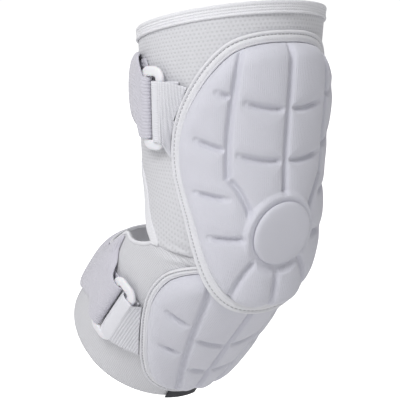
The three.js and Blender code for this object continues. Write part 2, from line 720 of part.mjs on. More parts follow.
// The sleeve: two grids that meet on a seam and part round the crook opening
function sleeveBody() {
  const turns = [];
  const corner = crookEdges[0].turn;
  const steps = 16;
  for (let i = 0; i < steps; i += 1) turns.push(-corner + 2 * corner * i / steps);
  for (const row of crookEdges) turns.push(row.turn);
  for (const row of [...crookEdges].reverse().slice(1, -1)) turns.push(360 - row.turn);
  const wrap = (turn) => (turn > 180 ? turn - 360 : turn);
  const upperRows = [0, 0.1, 0.2, 0.31, 0.5, 0.75, 1];
  const lowerRows = [0, 0.06, 0.3, 0.55, 0.8, 1];
  const points = [];
  const faces = [];
  const index = new Map();
  const take = (key, point) => {
    if (!index.has(key)) {
      index.set(key, points.length);
      points.push(point);
    }
    return index.get(key);
  };
  const spot = (part, row, k, off) => {
    const turn = wrap(turns[k]);
    const open = Math.abs(turn) > corner + 0.01;
    const seam = part === 'upper' ? crookEdge(turn, 'upper') : crookEdge(turn, 'lower');
    const share = part === 'upper' ? upperRows[row] : lowerRows[row];
    const far = part === 'upper' ? topRim(turn) : lowRim(turn);
    const s = seam + (far - seam) * share;
    const name = row === 0 && !open ? 'seam' : part + row;
    return take(`${name} ${k} ${off}`, armPoint(s, turn, off));
  };
  const n = turns.length;
  for (const off of [0, -sleeveWall]) {
    for (const [part, rows] of [['upper', upperRows], ['lower', lowerRows]]) {
      for (let r = 0; r + 1 < rows.length; r += 1) {
        for (let k = 0; k < n; k += 1) {
          const m = (k + 1) % n;
          const quad = [spot(part, r, k, off), spot(part, r, m, off),
            spot(part, r + 1, m, off), spot(part, r + 1, k, off)];
          const turnOver = (off === 0) !== (part === 'upper');
          const [a, b, c, d] = turnOver ? quad.reverse() : quad;
          faces.push([a, b, c], [a, c, d]);
        }
      }
    }
  }
  const join = (part, row, k, m) => {
    const quad = [spot(part, row, k, 0), spot(part, row, m, 0),
      spot(part, row, m, -sleeveWall), spot(part, row, k, -sleeveWall)];
    const turnOver = (part === 'upper') === (row === 0);
    const [a, b, c, d] = turnOver ? quad.reverse() : quad;
    faces.push([a, b, c], [a, c, d]);
  };
  for (let k = 0; k < n; k += 1) {
    const m = (k + 1) % n;
    join('upper', upperRows.length - 1, k, m);
    join('lower', lowerRows.length - 1, k, m);
    const [a, b] = [wrap(turns[k]), wrap(turns[m])];
    if (Math.abs(a) > corner + 0.01 || Math.abs(b) > corner + 0.01) {
      join('upper', 0, k, m);
      join('lower', 0, k, m);
    }
  }
  return outward({ points, faces });
}

// The hem round the upper rim
function hemBody() {
  const rings = [];
  const count = 36;
  for (let i = 0; i < count; i += 1) {
    const turn = 360 * i / count - 180;
    const top = topRim(turn);
    rings.push([
      armPoint(top - hemHeight, turn, clearance), armPoint(top - hemHeight, turn, clearance + 1.2),
      armPoint(top - hemHeight * 0.45, turn, clearance + 1.6),
      armPoint(top + 0.2, turn, clearance + 1.2), armPoint(top + 0.5, turn, clearance),
    ]);
  }
  return bodyFromRings(rings, true);
}

// A narrow hem round the crook opening
function crookHemBody() {
  const edge = [];
  const rows = crookEdges.map((row) => row.turn);
  const add = (turn, column) => edge.push([turn, crookEdge(turn, column)]);
  const between = (list) => list.flatMap((turn, i) => (i + 1 < list.length && list[i + 1] > turn + 12
    ? [turn, (turn + list[i + 1]) / 2] : [turn]));
  const half = between(rows);
  for (const turn of half) add(turn, 'upper');
  for (const turn of [...half].reverse().slice(1)) add(360 - turn, 'upper');
  for (const turn of half.slice(1)) add(360 - turn, 'lower');
  for (const turn of [...half].reverse().slice(1, -1)) add(turn, 'lower');
  const n = edge.length;
  const hemWide = crookHemWidth;
  const flat = edge.map(([turn, s]) => {
    const wrapped = turn > 180 ? turn - 360 : turn;
    return { turn, s, scale: Math.max(stretchAt(s, wrapped), 0.25) };
  });
  const rings = flat.map((here, i) => {
    const ahead = flat[(i + 1) % n];
    const behind = flat[(i + n - 1) % n];
    const dx = (ahead.turn - behind.turn) * turnLength;
    const dy = (ahead.s - behind.s) * here.scale;
    const size = Math.hypot(dx, dy);
    const [nx, ny] = [-dy / size, dx / size];
    const at = (out, off) => {
      const turn = here.turn + nx * out * hemWide / turnLength;
      const s = here.s + ny * out * hemWide / here.scale;
      return armPoint(s, turn, off);
    };
    const high = clearance + bindingHeight * 0.75;
    return [at(0.02, clearance), at(0.02, high - 0.2), at(0.5, high), at(1, high - 0.5),
      at(1, clearance)];
  });
  return bodyFromRings(rings, true);
}

// A band along a path round the arm. Path points hold a turn and the band's middle height.
function bandBody(path, thickness, edgesAt) {
  const half = thickness / 2;
  const rings = path.map((here, i) => {
    const ahead = path[Math.min(i + 1, path.length - 1)];
    const behind = path[Math.max(i - 1, 0)];
    const dx = (ahead.turn - behind.turn) * turnLength;
    const dy = ahead.off - behind.off;
    const size = Math.hypot(dx, dy);
    const [nx, ny] = [-dy / size, dx / size];
    const { upper, lower } = edgesAt(here);
    const at = (share, hand) => armPoint(lower + (upper - lower) * share,
      -(here.turn + hand * nx * half / turnLength), here.off + hand * ny * half);
    return [at(0, 1), at(0.5, 1), at(1, 1), at(1, -1), at(0.5, -1), at(0, -1)];
  });
  return bodyFromRings(rings, false);
}

// The turn in degrees of a ring's bars and the height of their middles
const barTurn = (ring, side) => ring.turn + side * (ringWidth - ringBar) / 2 / turnLength;
const barHeight = clearance + strapThickness + 0.7 + ringThickness / 2;
const foldSize = (thickness, slack) => ({
  wide: ringBar / 2 + slack + thickness / 2,
  high: ringThickness / 2 + strapSlack + thickness / 2,
});

// A strap from the far binding round the crook to the ring, folded back over itself
function strapBody(ring, table, farTurn, endTurn) {
  const bar = barTurn(ring, 1);
  const low = clearance + strapThickness / 2;
  const path = [];
  const fold = foldSize(strapThickness, strapSlack);
  const round = 24;
  for (let i = 0; i <= round; i += 1) {
    path.push({ turn: farTurn + (bar + 1 - farTurn) * i / round, off: low });
  }
  for (let i = 1; i < 8; i += 1) {
    const a = Math.PI * i / 8;
    path.push({
      turn: bar - Math.sin(a) * fold.wide / turnLength,
      off: barHeight - Math.cos(a) * fold.high,
    });
  }
  const top = barHeight + fold.high;
  const rest = low + strapThickness + strapGap;
  const last = (endTurn - bar - 1) * turnLength;
  for (let i = 0; i <= 10; i += 1) {
    const away = i < 5 ? strapSettle * i / 4 : strapSettle + (last - strapSettle) * (i - 4) / 6;
    path.push({
      turn: bar + 1 + away / turnLength,
      off: top + (rest - top) * smooth(away / strapSettle),
    });
  }
  const kept = path.filter((row, i) => i === 0 || row.turn !== path[i - 1].turn
    || row.off !== path[i - 1].off);
  return bandBody(kept, strapThickness, ({ turn }) => {
    const wrapped = turn > 180 ? 360 - turn : turn;
    const keepOff = (column) => {
      const climb = (crookEdge(wrapped + 5, column) - crookEdge(wrapped - 5, column))
        / (10 * turnLength);
      return (crookHemWidth + rimClearance) * Math.hypot(climb, 1)
        / Math.max(stretchAt(crookEdge(wrapped, column), wrapped), 0.3);
    };
    const limit = ring.middle > 0 ? topRim(wrapped) - hemHeight - 1.4
      : crookEdge(wrapped, 'lower') - keepOff('lower');
    const foot = ring.middle > 0 ? crookEdge(wrapped, 'upper') + keepOff('upper')
      : lowRim(wrapped) + 2;
    return {
      upper: Math.min(ring.middle + strapWidth * lookUp(table, 'turn', 'upper', turn), limit),
      lower: Math.max(ring.middle + strapWidth * lookUp(table, 'turn', 'lower', turn), foot),
    };
  });
}

// Elastic webbing from the binding, over the ring's other bar and back
function webbingBody(ring, pad, bindingShare) {
  const bar = barTurn(ring, -1);
  const thickness = strapThickness * 0.85;
  const low = clearance + thickness / 2;
  const fold = foldSize(thickness, webbingSlack);
  const half = strapWidth * 0.475 * ring.long;
  const top = barHeight + fold.high;
  const rest = low + thickness + 0.5;
  const path = [];
  for (let i = 0; i <= 3; i += 1) path.push({ share: 1 - i / 3, over: false });
  for (let i = 1; i < 8; i += 1) path.push({ share: 0, angle: Math.PI * i / 8 });
  path.push({ share: 0, onBar: true });
  for (let i = 0; i <= 3; i += 1) path.push({ share: i / 3, over: true });
  const rows = [0, 0.25, 0.5, 0.75, 1];
  const place = (row, s) => {
    if (row.angle) {
      return { turn: bar + Math.sin(row.angle) * fold.wide / turnLength,
        off: barHeight - Math.cos(row.angle) * fold.high };
    }
    if (row.onBar) return { turn: bar, off: top };
    const end = Math.min(bindingTurn(pad, s, bindingShare) + 1.2, bar - 1);
    const start = row.over ? Math.max(bar - (ringBar / 2 + 0.4) / turnLength, end + 0.4) : bar;
    const turn = start + (end - start) * row.share;
    return { turn, off: row.over ? Math.max(rest, top - (start - turn) * turnLength * 0.8) : low };
  };
  const rings = path.map((here, i) => {
    const ahead = path[Math.min(i + 1, path.length - 1)];
    const behind = path[Math.max(i - 1, 0)];
    const at = (share, hand) => {
      const slide = strapWidth * ring.drift * here.share;
      const s = ring.middle + slide - half + 2 * half * share;
      const [a, b, c] = [place(behind, s), place(here, s), place(ahead, s)];
      const dx = (c.turn - a.turn) * turnLength;
      const dy = c.off - a.off;
      const size = Math.max(Math.hypot(dx, dy), 1e-6);
      return armPoint(s, -(b.turn - hand * dy / size * thickness / 2 / turnLength),
        b.off + hand * dx / size * thickness / 2);
    };
    return [...rows.map((share) => at(share, 1)), ...[...rows].reverse().map((share) => at(share, -1))];
  });
  return bodyFromRings(rings, false);
}

// A flat rounded rectangular ring lying on the sleeve, its bars with six sides
function ringBody(ring) {
  const halfLong = (ringLength * ring.long - ringBar) / 2;
  const halfWide = (ringWidth - ringBar) / 2;
  const corner = halfWide * 0.5;
  const shape = [];
  const add = (cx, cy, start) => {
    for (let i = 0; i <= 3; i += 1) {
      const a = radians(start + 30 * i);
      shape.push([cx + corner * Math.cos(a), cy + corner * Math.sin(a)]);
    }
  };
  add(halfWide - corner, halfLong - corner, 0);
  add(corner - halfWide, halfLong - corner, 90);
  shape.push([-halfWide, 0]);
  add(corner - halfWide, corner - halfLong, 180);
  add(halfWide - corner, corner - halfLong, 270);
  shape.push([halfWide, 0]);
  const n = shape.length;
  const rings = shape.map(([x, y], i) => {
    const ahead = shape[(i + 1) % n];
    const behind = shape[(i + n - 1) % n];
    const size = Math.hypot(ahead[0] - behind[0], ahead[1] - behind[1]);
    const [nx, ny] = [(ahead[1] - behind[1]) / size, (behind[0] - ahead[0]) / size];
    const profile = [{ out: 1, up: 0 }, { out: 0.55, up: 1 }, { out: -0.55, up: 1 },
      { out: -1, up: 0 }, { out: -0.55, up: -1 }, { out: 0.55, up: -1 }];
    return profile.map(({ out, up }) => armPoint(ring.middle + y + ny * out * ringBar / 2,
      -(ring.turn + (x + nx * out * ringBar / 2) / turnLength),
      barHeight + up * ringThickness / 2));
  });
  return bodyFromRings(rings, true);
}

// The round badge: a disc with a softly domed face
function badgeBody() {
  const { middle, normal } = badgeBase;
  const side = [0, 1, 0];
  const up = [normal[1] * side[2] - normal[2] * side[1], normal[2] * side[0] - normal[0] * side[2],
    normal[0] * side[1] - normal[1] * side[0]];
  const profile = [
    { out: 0.96, high: 0.1 }, { out: 1, high: 0.28 }, { out: 1, high: 0.72 }, { out: 0.94, high: 0.9 },
    { out: 0.75, high: 1.02 }, { out: 0.4, high: 1.12 },
  ];
  const rings = profile.map(({ out, high }) => {
    const ring = [];
    for (let k = 0; k < 24; k += 1) {
      const a = radians(360 * k / 24);
      const r = badgeRadius * out;
      ring.push(middle.map((v, i) => v + side[i] * Math.cos(a) * r + up[i] * Math.sin(a) * r
        + normal[i] * (0.1 + badgeHeight * high)));
    }
    return ring;
  });
  return bodyFromRings(rings, false);
}

// The woven label on the lower rim, kept clear of the lower pad's binding
function labelBody() {
  const lastPlace = lowerPad.outline[lowerPad.outline.length - 1].place;
  const labelRoof = alongArm(lowerPad.middle + lastPlace * lowerPad.reach)
    - bindingWidth - clearance;
  const count = 6;
  const rings = [];
  for (let i = 0; i <= count; i += 1) {
    const turn = (i / count - 0.5) * labelWidth / turnLength;
    const low = lowRim(turn) - clearance;
    const high = Math.min(low + labelHeight, labelRoof);
    rings.push([armPoint(low, turn, clearance), armPoint(high, turn, clearance),
      armPoint(high, turn, clearance + 0.8), armPoint(low, turn, clearance + 0.8)]);
  }
  return bodyFromRings(rings, false);
}

// Geometry, colour and name for each piece
function addPiece(group, name, body, colour, roughness) {
  const { points, faces } = body;
  const geometry = new THREE.BufferGeometry();
  geometry.setAttribute('position', new THREE.BufferAttribute(new Float32Array(points.flat()), 3));
  geometry.setIndex(faces.flat());
  geometry.computeVertexNormals();
  const material = new THREE.MeshStandardMaterial({ color: colour, roughness, metalness: 0 });
  const mesh = new THREE.Mesh(geometry, material);
  mesh.name = name;
  group.add(mesh);
}

const guard = new THREE.Group();
guard.name = 'elbow_guard';
const flatRise = () => 0;
const lowerShare = 0.78;
const farTurn = (ring, pad, widthShare) => {
  const reaches = [-0.5, -0.25, 0, 0.25, 0.5, 0.7]
    .map((share) => bindingTurn(pad, ring.middle + share * strapWidth, widthShare));
  return 360 - Math.max(...reaches) - 1.5;
};
addPiece(guard, 'sleeve', sleeveBody(), 0xe9e8ee, 0.95);
addPiece(guard, 'upper_hem', hemBody(), 0xefeef3, 0.9);
addPiece(guard, 'crook_hem', crookHemBody(), 0xf1f0f5, 0.9);
addPiece(guard, 'upper_pad', padBody(upperPad, upperGrooves, 3800, riseAt, true), 0xdcdce4, 0.8);
addPiece(guard, 'upper_pad_binding', bindingBody(upperPad, riseAt, 1), 0xf2f2f6, 0.9);
addPiece(guard, 'elbow_badge', badgeBody(), 0xdedee6, 0.6);
addPiece(guard, 'lower_pad', padBody(lowerPad, lowerGrooves, 2150, flatRise, false), 0xd8d8e1, 0.8);
addPiece(guard, 'lower_pad_binding', bindingBody(lowerPad, flatRise, lowerShare), 0xf2f2f6, 0.9);
addPiece(guard, 'upper_strap', strapBody(upperRing, upperStrapEdges, farTurn(upperRing, upperPad, 1), 172), 0xd5d4dd, 0.9);
addPiece(guard, 'upper_webbing', webbingBody(upperRing, upperPad, 1), 0xe2e2e8, 0.9);
addPiece(guard, 'upper_ring', ringBody(upperRing), 0xf4f4f6, 0.45);
addPiece(guard, 'lower_strap', strapBody(lowerRing, lowerStrapEdges, farTurn(lowerRing, lowerPad, lowerShare), 172), 0xd5d4dd, 0.9);
addPiece(guard, 'lower_webbing', webbingBody(lowerRing, lowerPad, lowerShare), 0xe2e2e8, 0.9);
addPiece(guard, 'lower_ring', ringBody(lowerRing), 0xf4f4f6, 0.45);
addPiece(guard, 'rim_label', labelBody(), 0x17171a, 0.85);

export default guard;
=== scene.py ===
# Elbow guard for batting: the cloth, pads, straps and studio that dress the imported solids.
# Lengths are metres in the frame's own axes: +Z up the arm, +X past the elbow's point.
import json
import math

import bmesh
import bpy
import numpy as np
from bpy.props import FloatProperty, FloatVectorProperty, PointerProperty
from mathutils import Matrix, Vector


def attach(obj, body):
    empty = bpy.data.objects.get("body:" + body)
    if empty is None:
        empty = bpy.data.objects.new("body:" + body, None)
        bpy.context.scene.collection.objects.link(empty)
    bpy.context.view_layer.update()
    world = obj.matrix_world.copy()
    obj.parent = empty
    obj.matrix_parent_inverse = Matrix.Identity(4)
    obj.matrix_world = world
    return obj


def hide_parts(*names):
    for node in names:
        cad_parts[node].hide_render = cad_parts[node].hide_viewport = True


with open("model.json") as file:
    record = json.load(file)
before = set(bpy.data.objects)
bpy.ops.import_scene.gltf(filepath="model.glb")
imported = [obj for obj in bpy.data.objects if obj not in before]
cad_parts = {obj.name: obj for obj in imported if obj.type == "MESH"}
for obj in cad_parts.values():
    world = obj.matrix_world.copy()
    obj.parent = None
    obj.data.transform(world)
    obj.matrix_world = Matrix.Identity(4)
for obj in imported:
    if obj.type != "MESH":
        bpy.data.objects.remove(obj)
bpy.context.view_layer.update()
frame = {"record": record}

bl_info = {
    "name": "Elbow Guard",
    "version": (1, 0, 0),
    "blender": (4, 5, 0),
    "location": "View3D > Sidebar > Elbow Guard",
    "description": "Builds a padded elbow guard, worn, on its packed solids",
    "category": "Object",
}

MM = 0.001
MATERIALS = {row["slot"]: row for row in frame["record"]["materials"]}

# Shares of the cuff's radius: the bend's own radius and the skin's reach past it outside
BEND_RADIUS = 1.09
OUTER_REACH = 0.9
# How far the rims slope toward the crook, as shares of the upper and lower length
TOP_SLOPE = 0.11
LOW_SLOPE = 0.012
# The hollow's cross-sections down the arm: place is a share of the upper or lower length, the
# rest are shares of the cuff's radius. Depth is toward the point, crook away from it
SECTIONS = {
    "place": (-1.03, -0.75, -0.5, -0.31, -0.155, 0, 0.18, 0.6, 1.03),
    "depth": (0.965, 0.965, 0.965, 0.957, 0.95, 0.945, 0.945, 0.965, 1),
    "crook": (0.94, 0.885, 0.83, 0.84, 0.91, 0.965, 0.99, 0.99, 1),
    "width": (0.947, 0.96, 0.93, 0.895, 0.877, 0.877, 0.904, 0.965, 1),
    "shift": (-0.079, -0.088, -0.088, -0.082, -0.09, -0.105, -0.088, -0.026, 0),
}
# How far the upper pad's stiff lower end stands off, as a share of the cuff's radius
STAND_OFF = {
    "place": (-1.1, -0.93, -0.75, -0.55, -0.35, -0.15, 1.1),
    "rise": (0.215, 0.19, 0.115, 0.052, 0.018, 0, 0),
}
# Pads: middle and reach as shares of the upper or lower length, half the turn that they cover in
# degrees, and the share of the binding's width that they have
PADS = {
    "upper": {"middle": 0, "reach": 0.77, "half_turn": 65, "binding": 1},
    "lower": {"middle": -0.775, "reach": 0.385, "half_turn": 58, "binding": 0.78},
}
# The badge's place as a share of the upper pad's reach, and its seat as a share of the foam
BADGE_PLACE = -0.375
BADGE_SEAT = 0.68
# Half outlines of the pads: shares of the reach from the middle, and of the half turn
UPPER_OUTLINE = {
    "place": (1, 0.985, 0.93, 0.8, 0.6, 0.38, 0.14, -0.12, -0.36, -0.6, -0.8, -0.92, -0.945),
    "side": (0, 0.27, 0.48, 0.66, 0.835, 0.96, 1, 0.945, 0.835, 0.69, 0.5, 0.28, 0),
}
LOWER_OUTLINE = {
    "place": (1, 0.985, 0.915, 0.76, 0.52, 0.24, -0.03, -0.33, -0.63, -0.85, -0.955, -0.975),
    "side": (0, 0.34, 0.61, 0.83, 0.965, 0.99, 0.92, 0.79, 0.65, 0.49, 0.26, 0),
}
# Grooves pressed into the pads: start place and side, end place and side, bow as a share of the
# length, and whether the other half has its twin
UPPER_GROOVES = (
    (1.1, 0, -0.12, 0, 0, False), (1.0, 0.42, 0.03, 0.53, 0.025, True),
    (0.03, 0.53, -0.29, 0.3, -0.06, True), (0.53, 0.03, 0.57, 0.38, -0.06, True),
    (0.15, 0.03, 0.19, 0.43, -0.06, True), (0.615, 0.48, 0.645, 0.62, -0.05, True),
    (0.23, 0.53, 0.3, 0.79, -0.05, True), (-0.135, 0.53, -0.1, 0.8, -0.03, True),
    (-0.42, 0.33, -0.455, 0.64, -0.03, True), (-0.57, 0.22, -0.94, 0.34, 0.12, True),
    (-0.6, 0, -0.95, 0, 0, False),
)
LOWER_GROOVES = (
    (1.05, 0, -0.93, 0, 0, False), (0.95, 0.58, -0.9, 0.21, 0.02, True),
    (0.23, 0.54, 0.27, 0.79, -0.08, True), (-0.22, 0.46, -0.21, 0.65, -0.08, True),
    (-0.02, 0.03, 0.03, 0.38, -0.03, True), (-0.51, 0.03, -0.47, 0.24, -0.03, True),
)
# The seam and, past the corner, the crook opening's edges: degrees from the elbow's point, and
# shares of the bend's length
CORNER = 82
CROOK = {
    "turn": (45, 57, 70, CORNER, 85, 92, 100, 109, 119, 130, 150, 180),
    "upper": (-0.69, -0.735, -0.81, -0.875, -0.86, -0.8, -0.67, -0.4, -0.16, -0.04, 0.07, 0.1),
    "lower": (-0.69, -0.735, -0.81, -0.875, -0.95, -1.11, -1.22, -1.28, -1.66, -1.96, -2.11,
              -2.19),
}
# Rings: middle as a share of the upper or lower length, turn in degrees, the ring's own length as
# a share of the nominal one, how far the webbing drifts and flares as shares of the strap's
# width, and how far the strap's middle puffs up in millimetres
RINGS = {
    "upper": {"middle": 0.395, "turn": 84.5, "long": 1, "drift": -0.13, "flare": 0.16, "puff": 2.6},
    "lower": {"middle": -0.647, "turn": 75.5, "long": 1.05, "drift": 0, "flare": 0, "puff": 0.5},
}
# Strap edges round the arm, as shares of the strap's width from the ring's middle
UPPER_STRAP = {
    "turn": (84, 90, 92, 97, 103, 118, 300),
    "upper": (0.47, 0.5, 0.61, 0.8, 0.84, 0.84, 0.7),
    "lower": (-0.47, -0.48, -0.48, -0.46, -0.4, -0.36, -0.4),
}
LOWER_STRAP = {
    "turn": (76, 90, 100, 104, 108, 120, 136, 180, 230, 300),
    "upper": (0.51, 0.54, 0.66, 0.74, 0.98, 0.9, 0.6, 0.4, 0.45, 0.5),
    "lower": (-0.51, -0.53, -0.61, -0.66, -0.73, -0.97, -1.34, -1.28, -0.8, -0.5),
}


class GuardSizes(bpy.types.PropertyGroup):
    """Sizes of the guard: the solids' own, and finer ones for its grooves, folds and tape"""

    cuff_radius: FloatProperty(name="Cuff radius", description="Half depth of the upper rim",
                               default=0.057, unit="LENGTH")
    upper_length: FloatProperty(name="Upper length", description="From the bend up to the rim",
                                default=0.104, unit="LENGTH")
    lower_length: FloatProperty(name="Lower length", description="Along the hollow to its rim",
                                default=0.160, unit="LENGTH")
    bend: FloatProperty(name="Bend", description="Turn of the forearm from straight",
                        default=math.radians(45), subtype="ANGLE")
    sleeve_wall: FloatProperty(name="Sleeve wall", description="Thickness of the mesh cloth",
                               default=0.002, unit="LENGTH")
    clearance: FloatProperty(name="Clearance", description="Gap between sewn layers",
                             default=0.0006, unit="LENGTH")
    pad_height: FloatProperty(name="Pad height", description="Height of the moulded foam",
                              default=0.0094, unit="LENGTH")
    pad_edge: FloatProperty(name="Pad edge", description="Height of the foam at its outline",
                            default=0.0016, unit="LENGTH")
    pad_roll: FloatProperty(name="Pad roll", description="Width of the rounded edge",
                            default=0.010, unit="LENGTH")
    groove_depth: FloatProperty(name="Groove depth", description="Depth of the pressed grooves",
                                default=0.0042, unit="LENGTH")
    groove_width: FloatProperty(name="Groove width", description="Width of a groove's valley",
                                default=0.004, unit="LENGTH")
    binding_width: FloatProperty(name="Binding width", description="Width of the pads' tape",
                                 default=0.007, unit="LENGTH")
    hem_height: FloatProperty(name="Hem height", description="Height of the upper rim's hem",
                              default=0.0072, unit="LENGTH")
    badge_radius: FloatProperty(name="Badge radius", description="Radius of the round badge",
                                default=0.020, unit="LENGTH")
    badge_height: FloatProperty(name="Badge height", description="Height of the badge's edge",
                                default=0.0036, unit="LENGTH")
    strap_width: FloatProperty(name="Strap width", description="Nominal width of a strap",
                               default=0.038, unit="LENGTH")
    strap_thickness: FloatProperty(name="Strap thickness", description="Thickness of one layer",
                                   default=0.0016, unit="LENGTH")
    strap_settle: FloatProperty(name="Strap settle", description="Run from bar to layer below",
                                default=0.016, unit="LENGTH")
    strap_gap: FloatProperty(name="Strap gap", description="Gap between a strap's two layers",
                             default=0.0005, unit="LENGTH")
    strap_slack: FloatProperty(name="Strap slack", description="Clear way in a strap's fold",
                               default=0.0006, unit="LENGTH")
    webbing_slack: FloatProperty(name="Webbing slack", description="Clear way in a webbing's fold",
                                 default=0.003, unit="LENGTH")
    hem_keep: FloatProperty(name="Hem keep", description="Clear way kept between strap and crook",
                            default=0.003, unit="LENGTH")
    ring_length: FloatProperty(name="Ring length", description="Outer length of a ring",
                               default=0.050, unit="LENGTH")
    ring_width: FloatProperty(name="Ring width", description="Outer width of a ring",
                              default=0.020, unit="LENGTH")
    ring_bar: FloatProperty(name="Ring bar", description="Width of a ring's bar",
                            default=0.006, unit="LENGTH")
    ring_thickness: FloatProperty(name="Ring thickness", description="Thickness of a ring",
                                  default=0.003, unit="LENGTH")
    label_width: FloatProperty(name="Label width", description="Width of the label",
                               default=0.024, unit="LENGTH")
    label_height: FloatProperty(name="Label height", description="Height of the label",
                                default=0.0085, unit="LENGTH")


class GuardLook(bpy.types.PropertyGroup):
    """Patterns and the studio"""

    hole_pitch: FloatProperty(name="Hole pitch", description="Spacing of the mesh's holes",
                              default=0.0027, unit="LENGTH")
    grid_pitch: FloatProperty(name="Grid pitch", description="Spacing of the cuff's fine grid",
                              default=0.0013, unit="LENGTH")
    knit_pitch: FloatProperty(name="Knit pitch", description="Spacing of the pads' knit ribs",
                              default=0.0011, unit="LENGTH")
    rib_pitch: FloatProperty(name="Rib pitch", description="Spacing of the elastic's ribs",
                             default=0.00165, unit="LENGTH")
    camera_azimuth: FloatProperty(name="Camera azimuth", description="Turn of the camera",
                                  default=math.radians(57), subtype="ANGLE")
    camera_elevation: FloatProperty(name="Camera elevation", description="Height of the camera",
                                    default=math.radians(8), subtype="ANGLE")
    camera_distance: FloatProperty(name="Camera distance", description="Distance to the target",
                                   default=0.85, unit="LENGTH")
    camera_target: FloatVectorProperty(name="Camera target", description="Middle of the picture",
                                       default=(-0.0103, -0.0159, -0.0182), subtype="TRANSLATION")
    frame_width: FloatProperty(name="Frame width", description="Width seen at the target",
                               default=0.248, unit="LENGTH")
    floor_height: FloatProperty(name="Floor height", description="Height of the studio floor",
                                default=-0.30, unit="LENGTH")
    key_power: FloatProperty(name="Key power", description="Power of the main light",
                             default=12, subtype="POWER")
    sky_power: FloatProperty(name="Sky power", description="Strength of the even light all round",
                             default=0.48)


def column(table, key, name, place):
    """Smooth values of a table's column at places between its rows, never overshooting"""
    xs, ys = np.array(table[key], float), np.array(table[name], float)
    order = np.argsort(xs)
    xs, ys = xs[order], ys[order]
    place = np.clip(place, xs[0], xs[-1])
    rise = np.diff(ys) / np.diff(xs)
    both, total = rise[:-1] * rise[1:], rise[:-1] + rise[1:]
    inner = np.where(both > 0, 2 * both / np.where(total == 0, 1, total), 0)
    slope = np.concatenate([rise[:1], inner, rise[-1:]])
    i = np.clip(np.searchsorted(xs, place, side="right") - 1, 0, len(xs) - 2)
    span = xs[i + 1] - xs[i]
    t = (place - xs[i]) / span
    return (ys[i] * (2 * t**3 - 3 * t**2 + 1) + ys[i + 1] * (3 * t**2 - 2 * t**3)
            + span * (slope[i] * (t**3 - 2 * t**2 + t) + slope[i + 1] * (t**3 - t**2)))


def smooth(value):
    """0 up to zero, 1 from one on and an even curve between"""
    t = np.clip(value, 0, 1)
    return t * t * (3 - 2 * t)


def bump(value):
    """1 at zero, falling smoothly to 0 at plus and minus one"""
    return 1 - smooth(np.abs(value))


class Arm:
    """The worn guard's form: places on the sleeve from a length, a turn and a height"""

    def __init__(self, sizes):
        self.size = sizes
        self.radius = sizes.cuff_radius * BEND_RADIUS
        self.bend_length = self.radius * sizes.bend
        self.turn_length = math.radians(1) * sizes.cuff_radius
        self.stretch = (self.radius + OUTER_REACH * sizes.cuff_radius) / self.radius
        self.upper_reach = PADS["upper"]["reach"] * sizes.upper_length

    def point(self, s, turn, off):
        """A place on the arm: s along the hollow, turn in degrees from the elbow's point"""
        size = self.size
        place = s / np.where(np.greater(s, 0), size.upper_length, size.lower_length)
        depth, crook, width, shift = (size.cuff_radius * column(SECTIONS, "place", name, place)
                                      for name in ("depth", "crook", "width", "shift"))
        swing = np.clip(-s / self.radius, 0, size.bend)
        past = np.maximum(-s - self.bend_length, 0)
        angle = np.radians(turn)
        across = np.cos(angle)
        reach = shift + (np.where(across > 0, depth, crook) + off) * across + self.radius
        return np.stack(np.broadcast_arrays(
            reach * np.cos(swing) - self.radius - math.sin(size.bend) * past,
            (width + off) * np.sin(angle),
            np.maximum(s, 0) - reach * np.sin(swing) - math.cos(size.bend) * past), axis=-1)

    def along(self, length):
        """Length along the hollow for a length down the outer side"""
        bent = self.bend_length * self.stretch
        inside = np.maximum(length, -bent) / self.stretch
        return np.where(np.greater_equal(length, 0), length, inside + np.minimum(length + bent, 0))

    def rise(self, length):
        """Stand-off of the upper pad"""
        return self.size.cuff_radius * column(STAND_OFF, "place", "rise", length / self.upper_reach)

    def flat(self, x, y, off):
        """A place from flat lengths: x round the arm and y down the outer side"""
        return self.point(self.along(y), x / self.turn_length, off)

    def top_rim(self, turn):
        """Length of the upper rim, lower at the crook"""
        return self.size.upper_length * (1 - TOP_SLOPE * (1 - np.cos(np.radians(turn))))

    def low_rim(self, turn):
        """Length of the lower rim"""
        return -self.size.lower_length * (1 - LOW_SLOPE * np.cos(np.radians(turn)))

    def crook(self, turn, name):
        """Length of the seam, or of the crook opening's upper or lower edge"""
        around = np.abs((turn + 180) % 360 - 180)
        return self.bend_length * column(CROOK, "turn", name, around)

    def stretch_at(self, s, turn):
        """How much longer the skin is than the hollow's axis"""
        reach = self.size.cuff_radius * (0.95 * np.cos(np.radians(turn)) - 0.085)
        bent = np.logical_and(np.less(s, 0), np.greater(s, -self.bend_length))
        return np.where(bent, (self.radius + reach) / self.radius, 1)

    def travel(self, s, distance, stretch):
        """Length reached over the skin from s, past an end of the bend too"""
        end = np.where(distance > 0, 0, -self.bend_length)
        room = (end - s) * stretch
        leaves = (s < 0) & (s > -self.bend_length) & (np.abs(distance) > np.abs(room))
        return np.where(leaves, end + distance - room, s + distance / stretch)


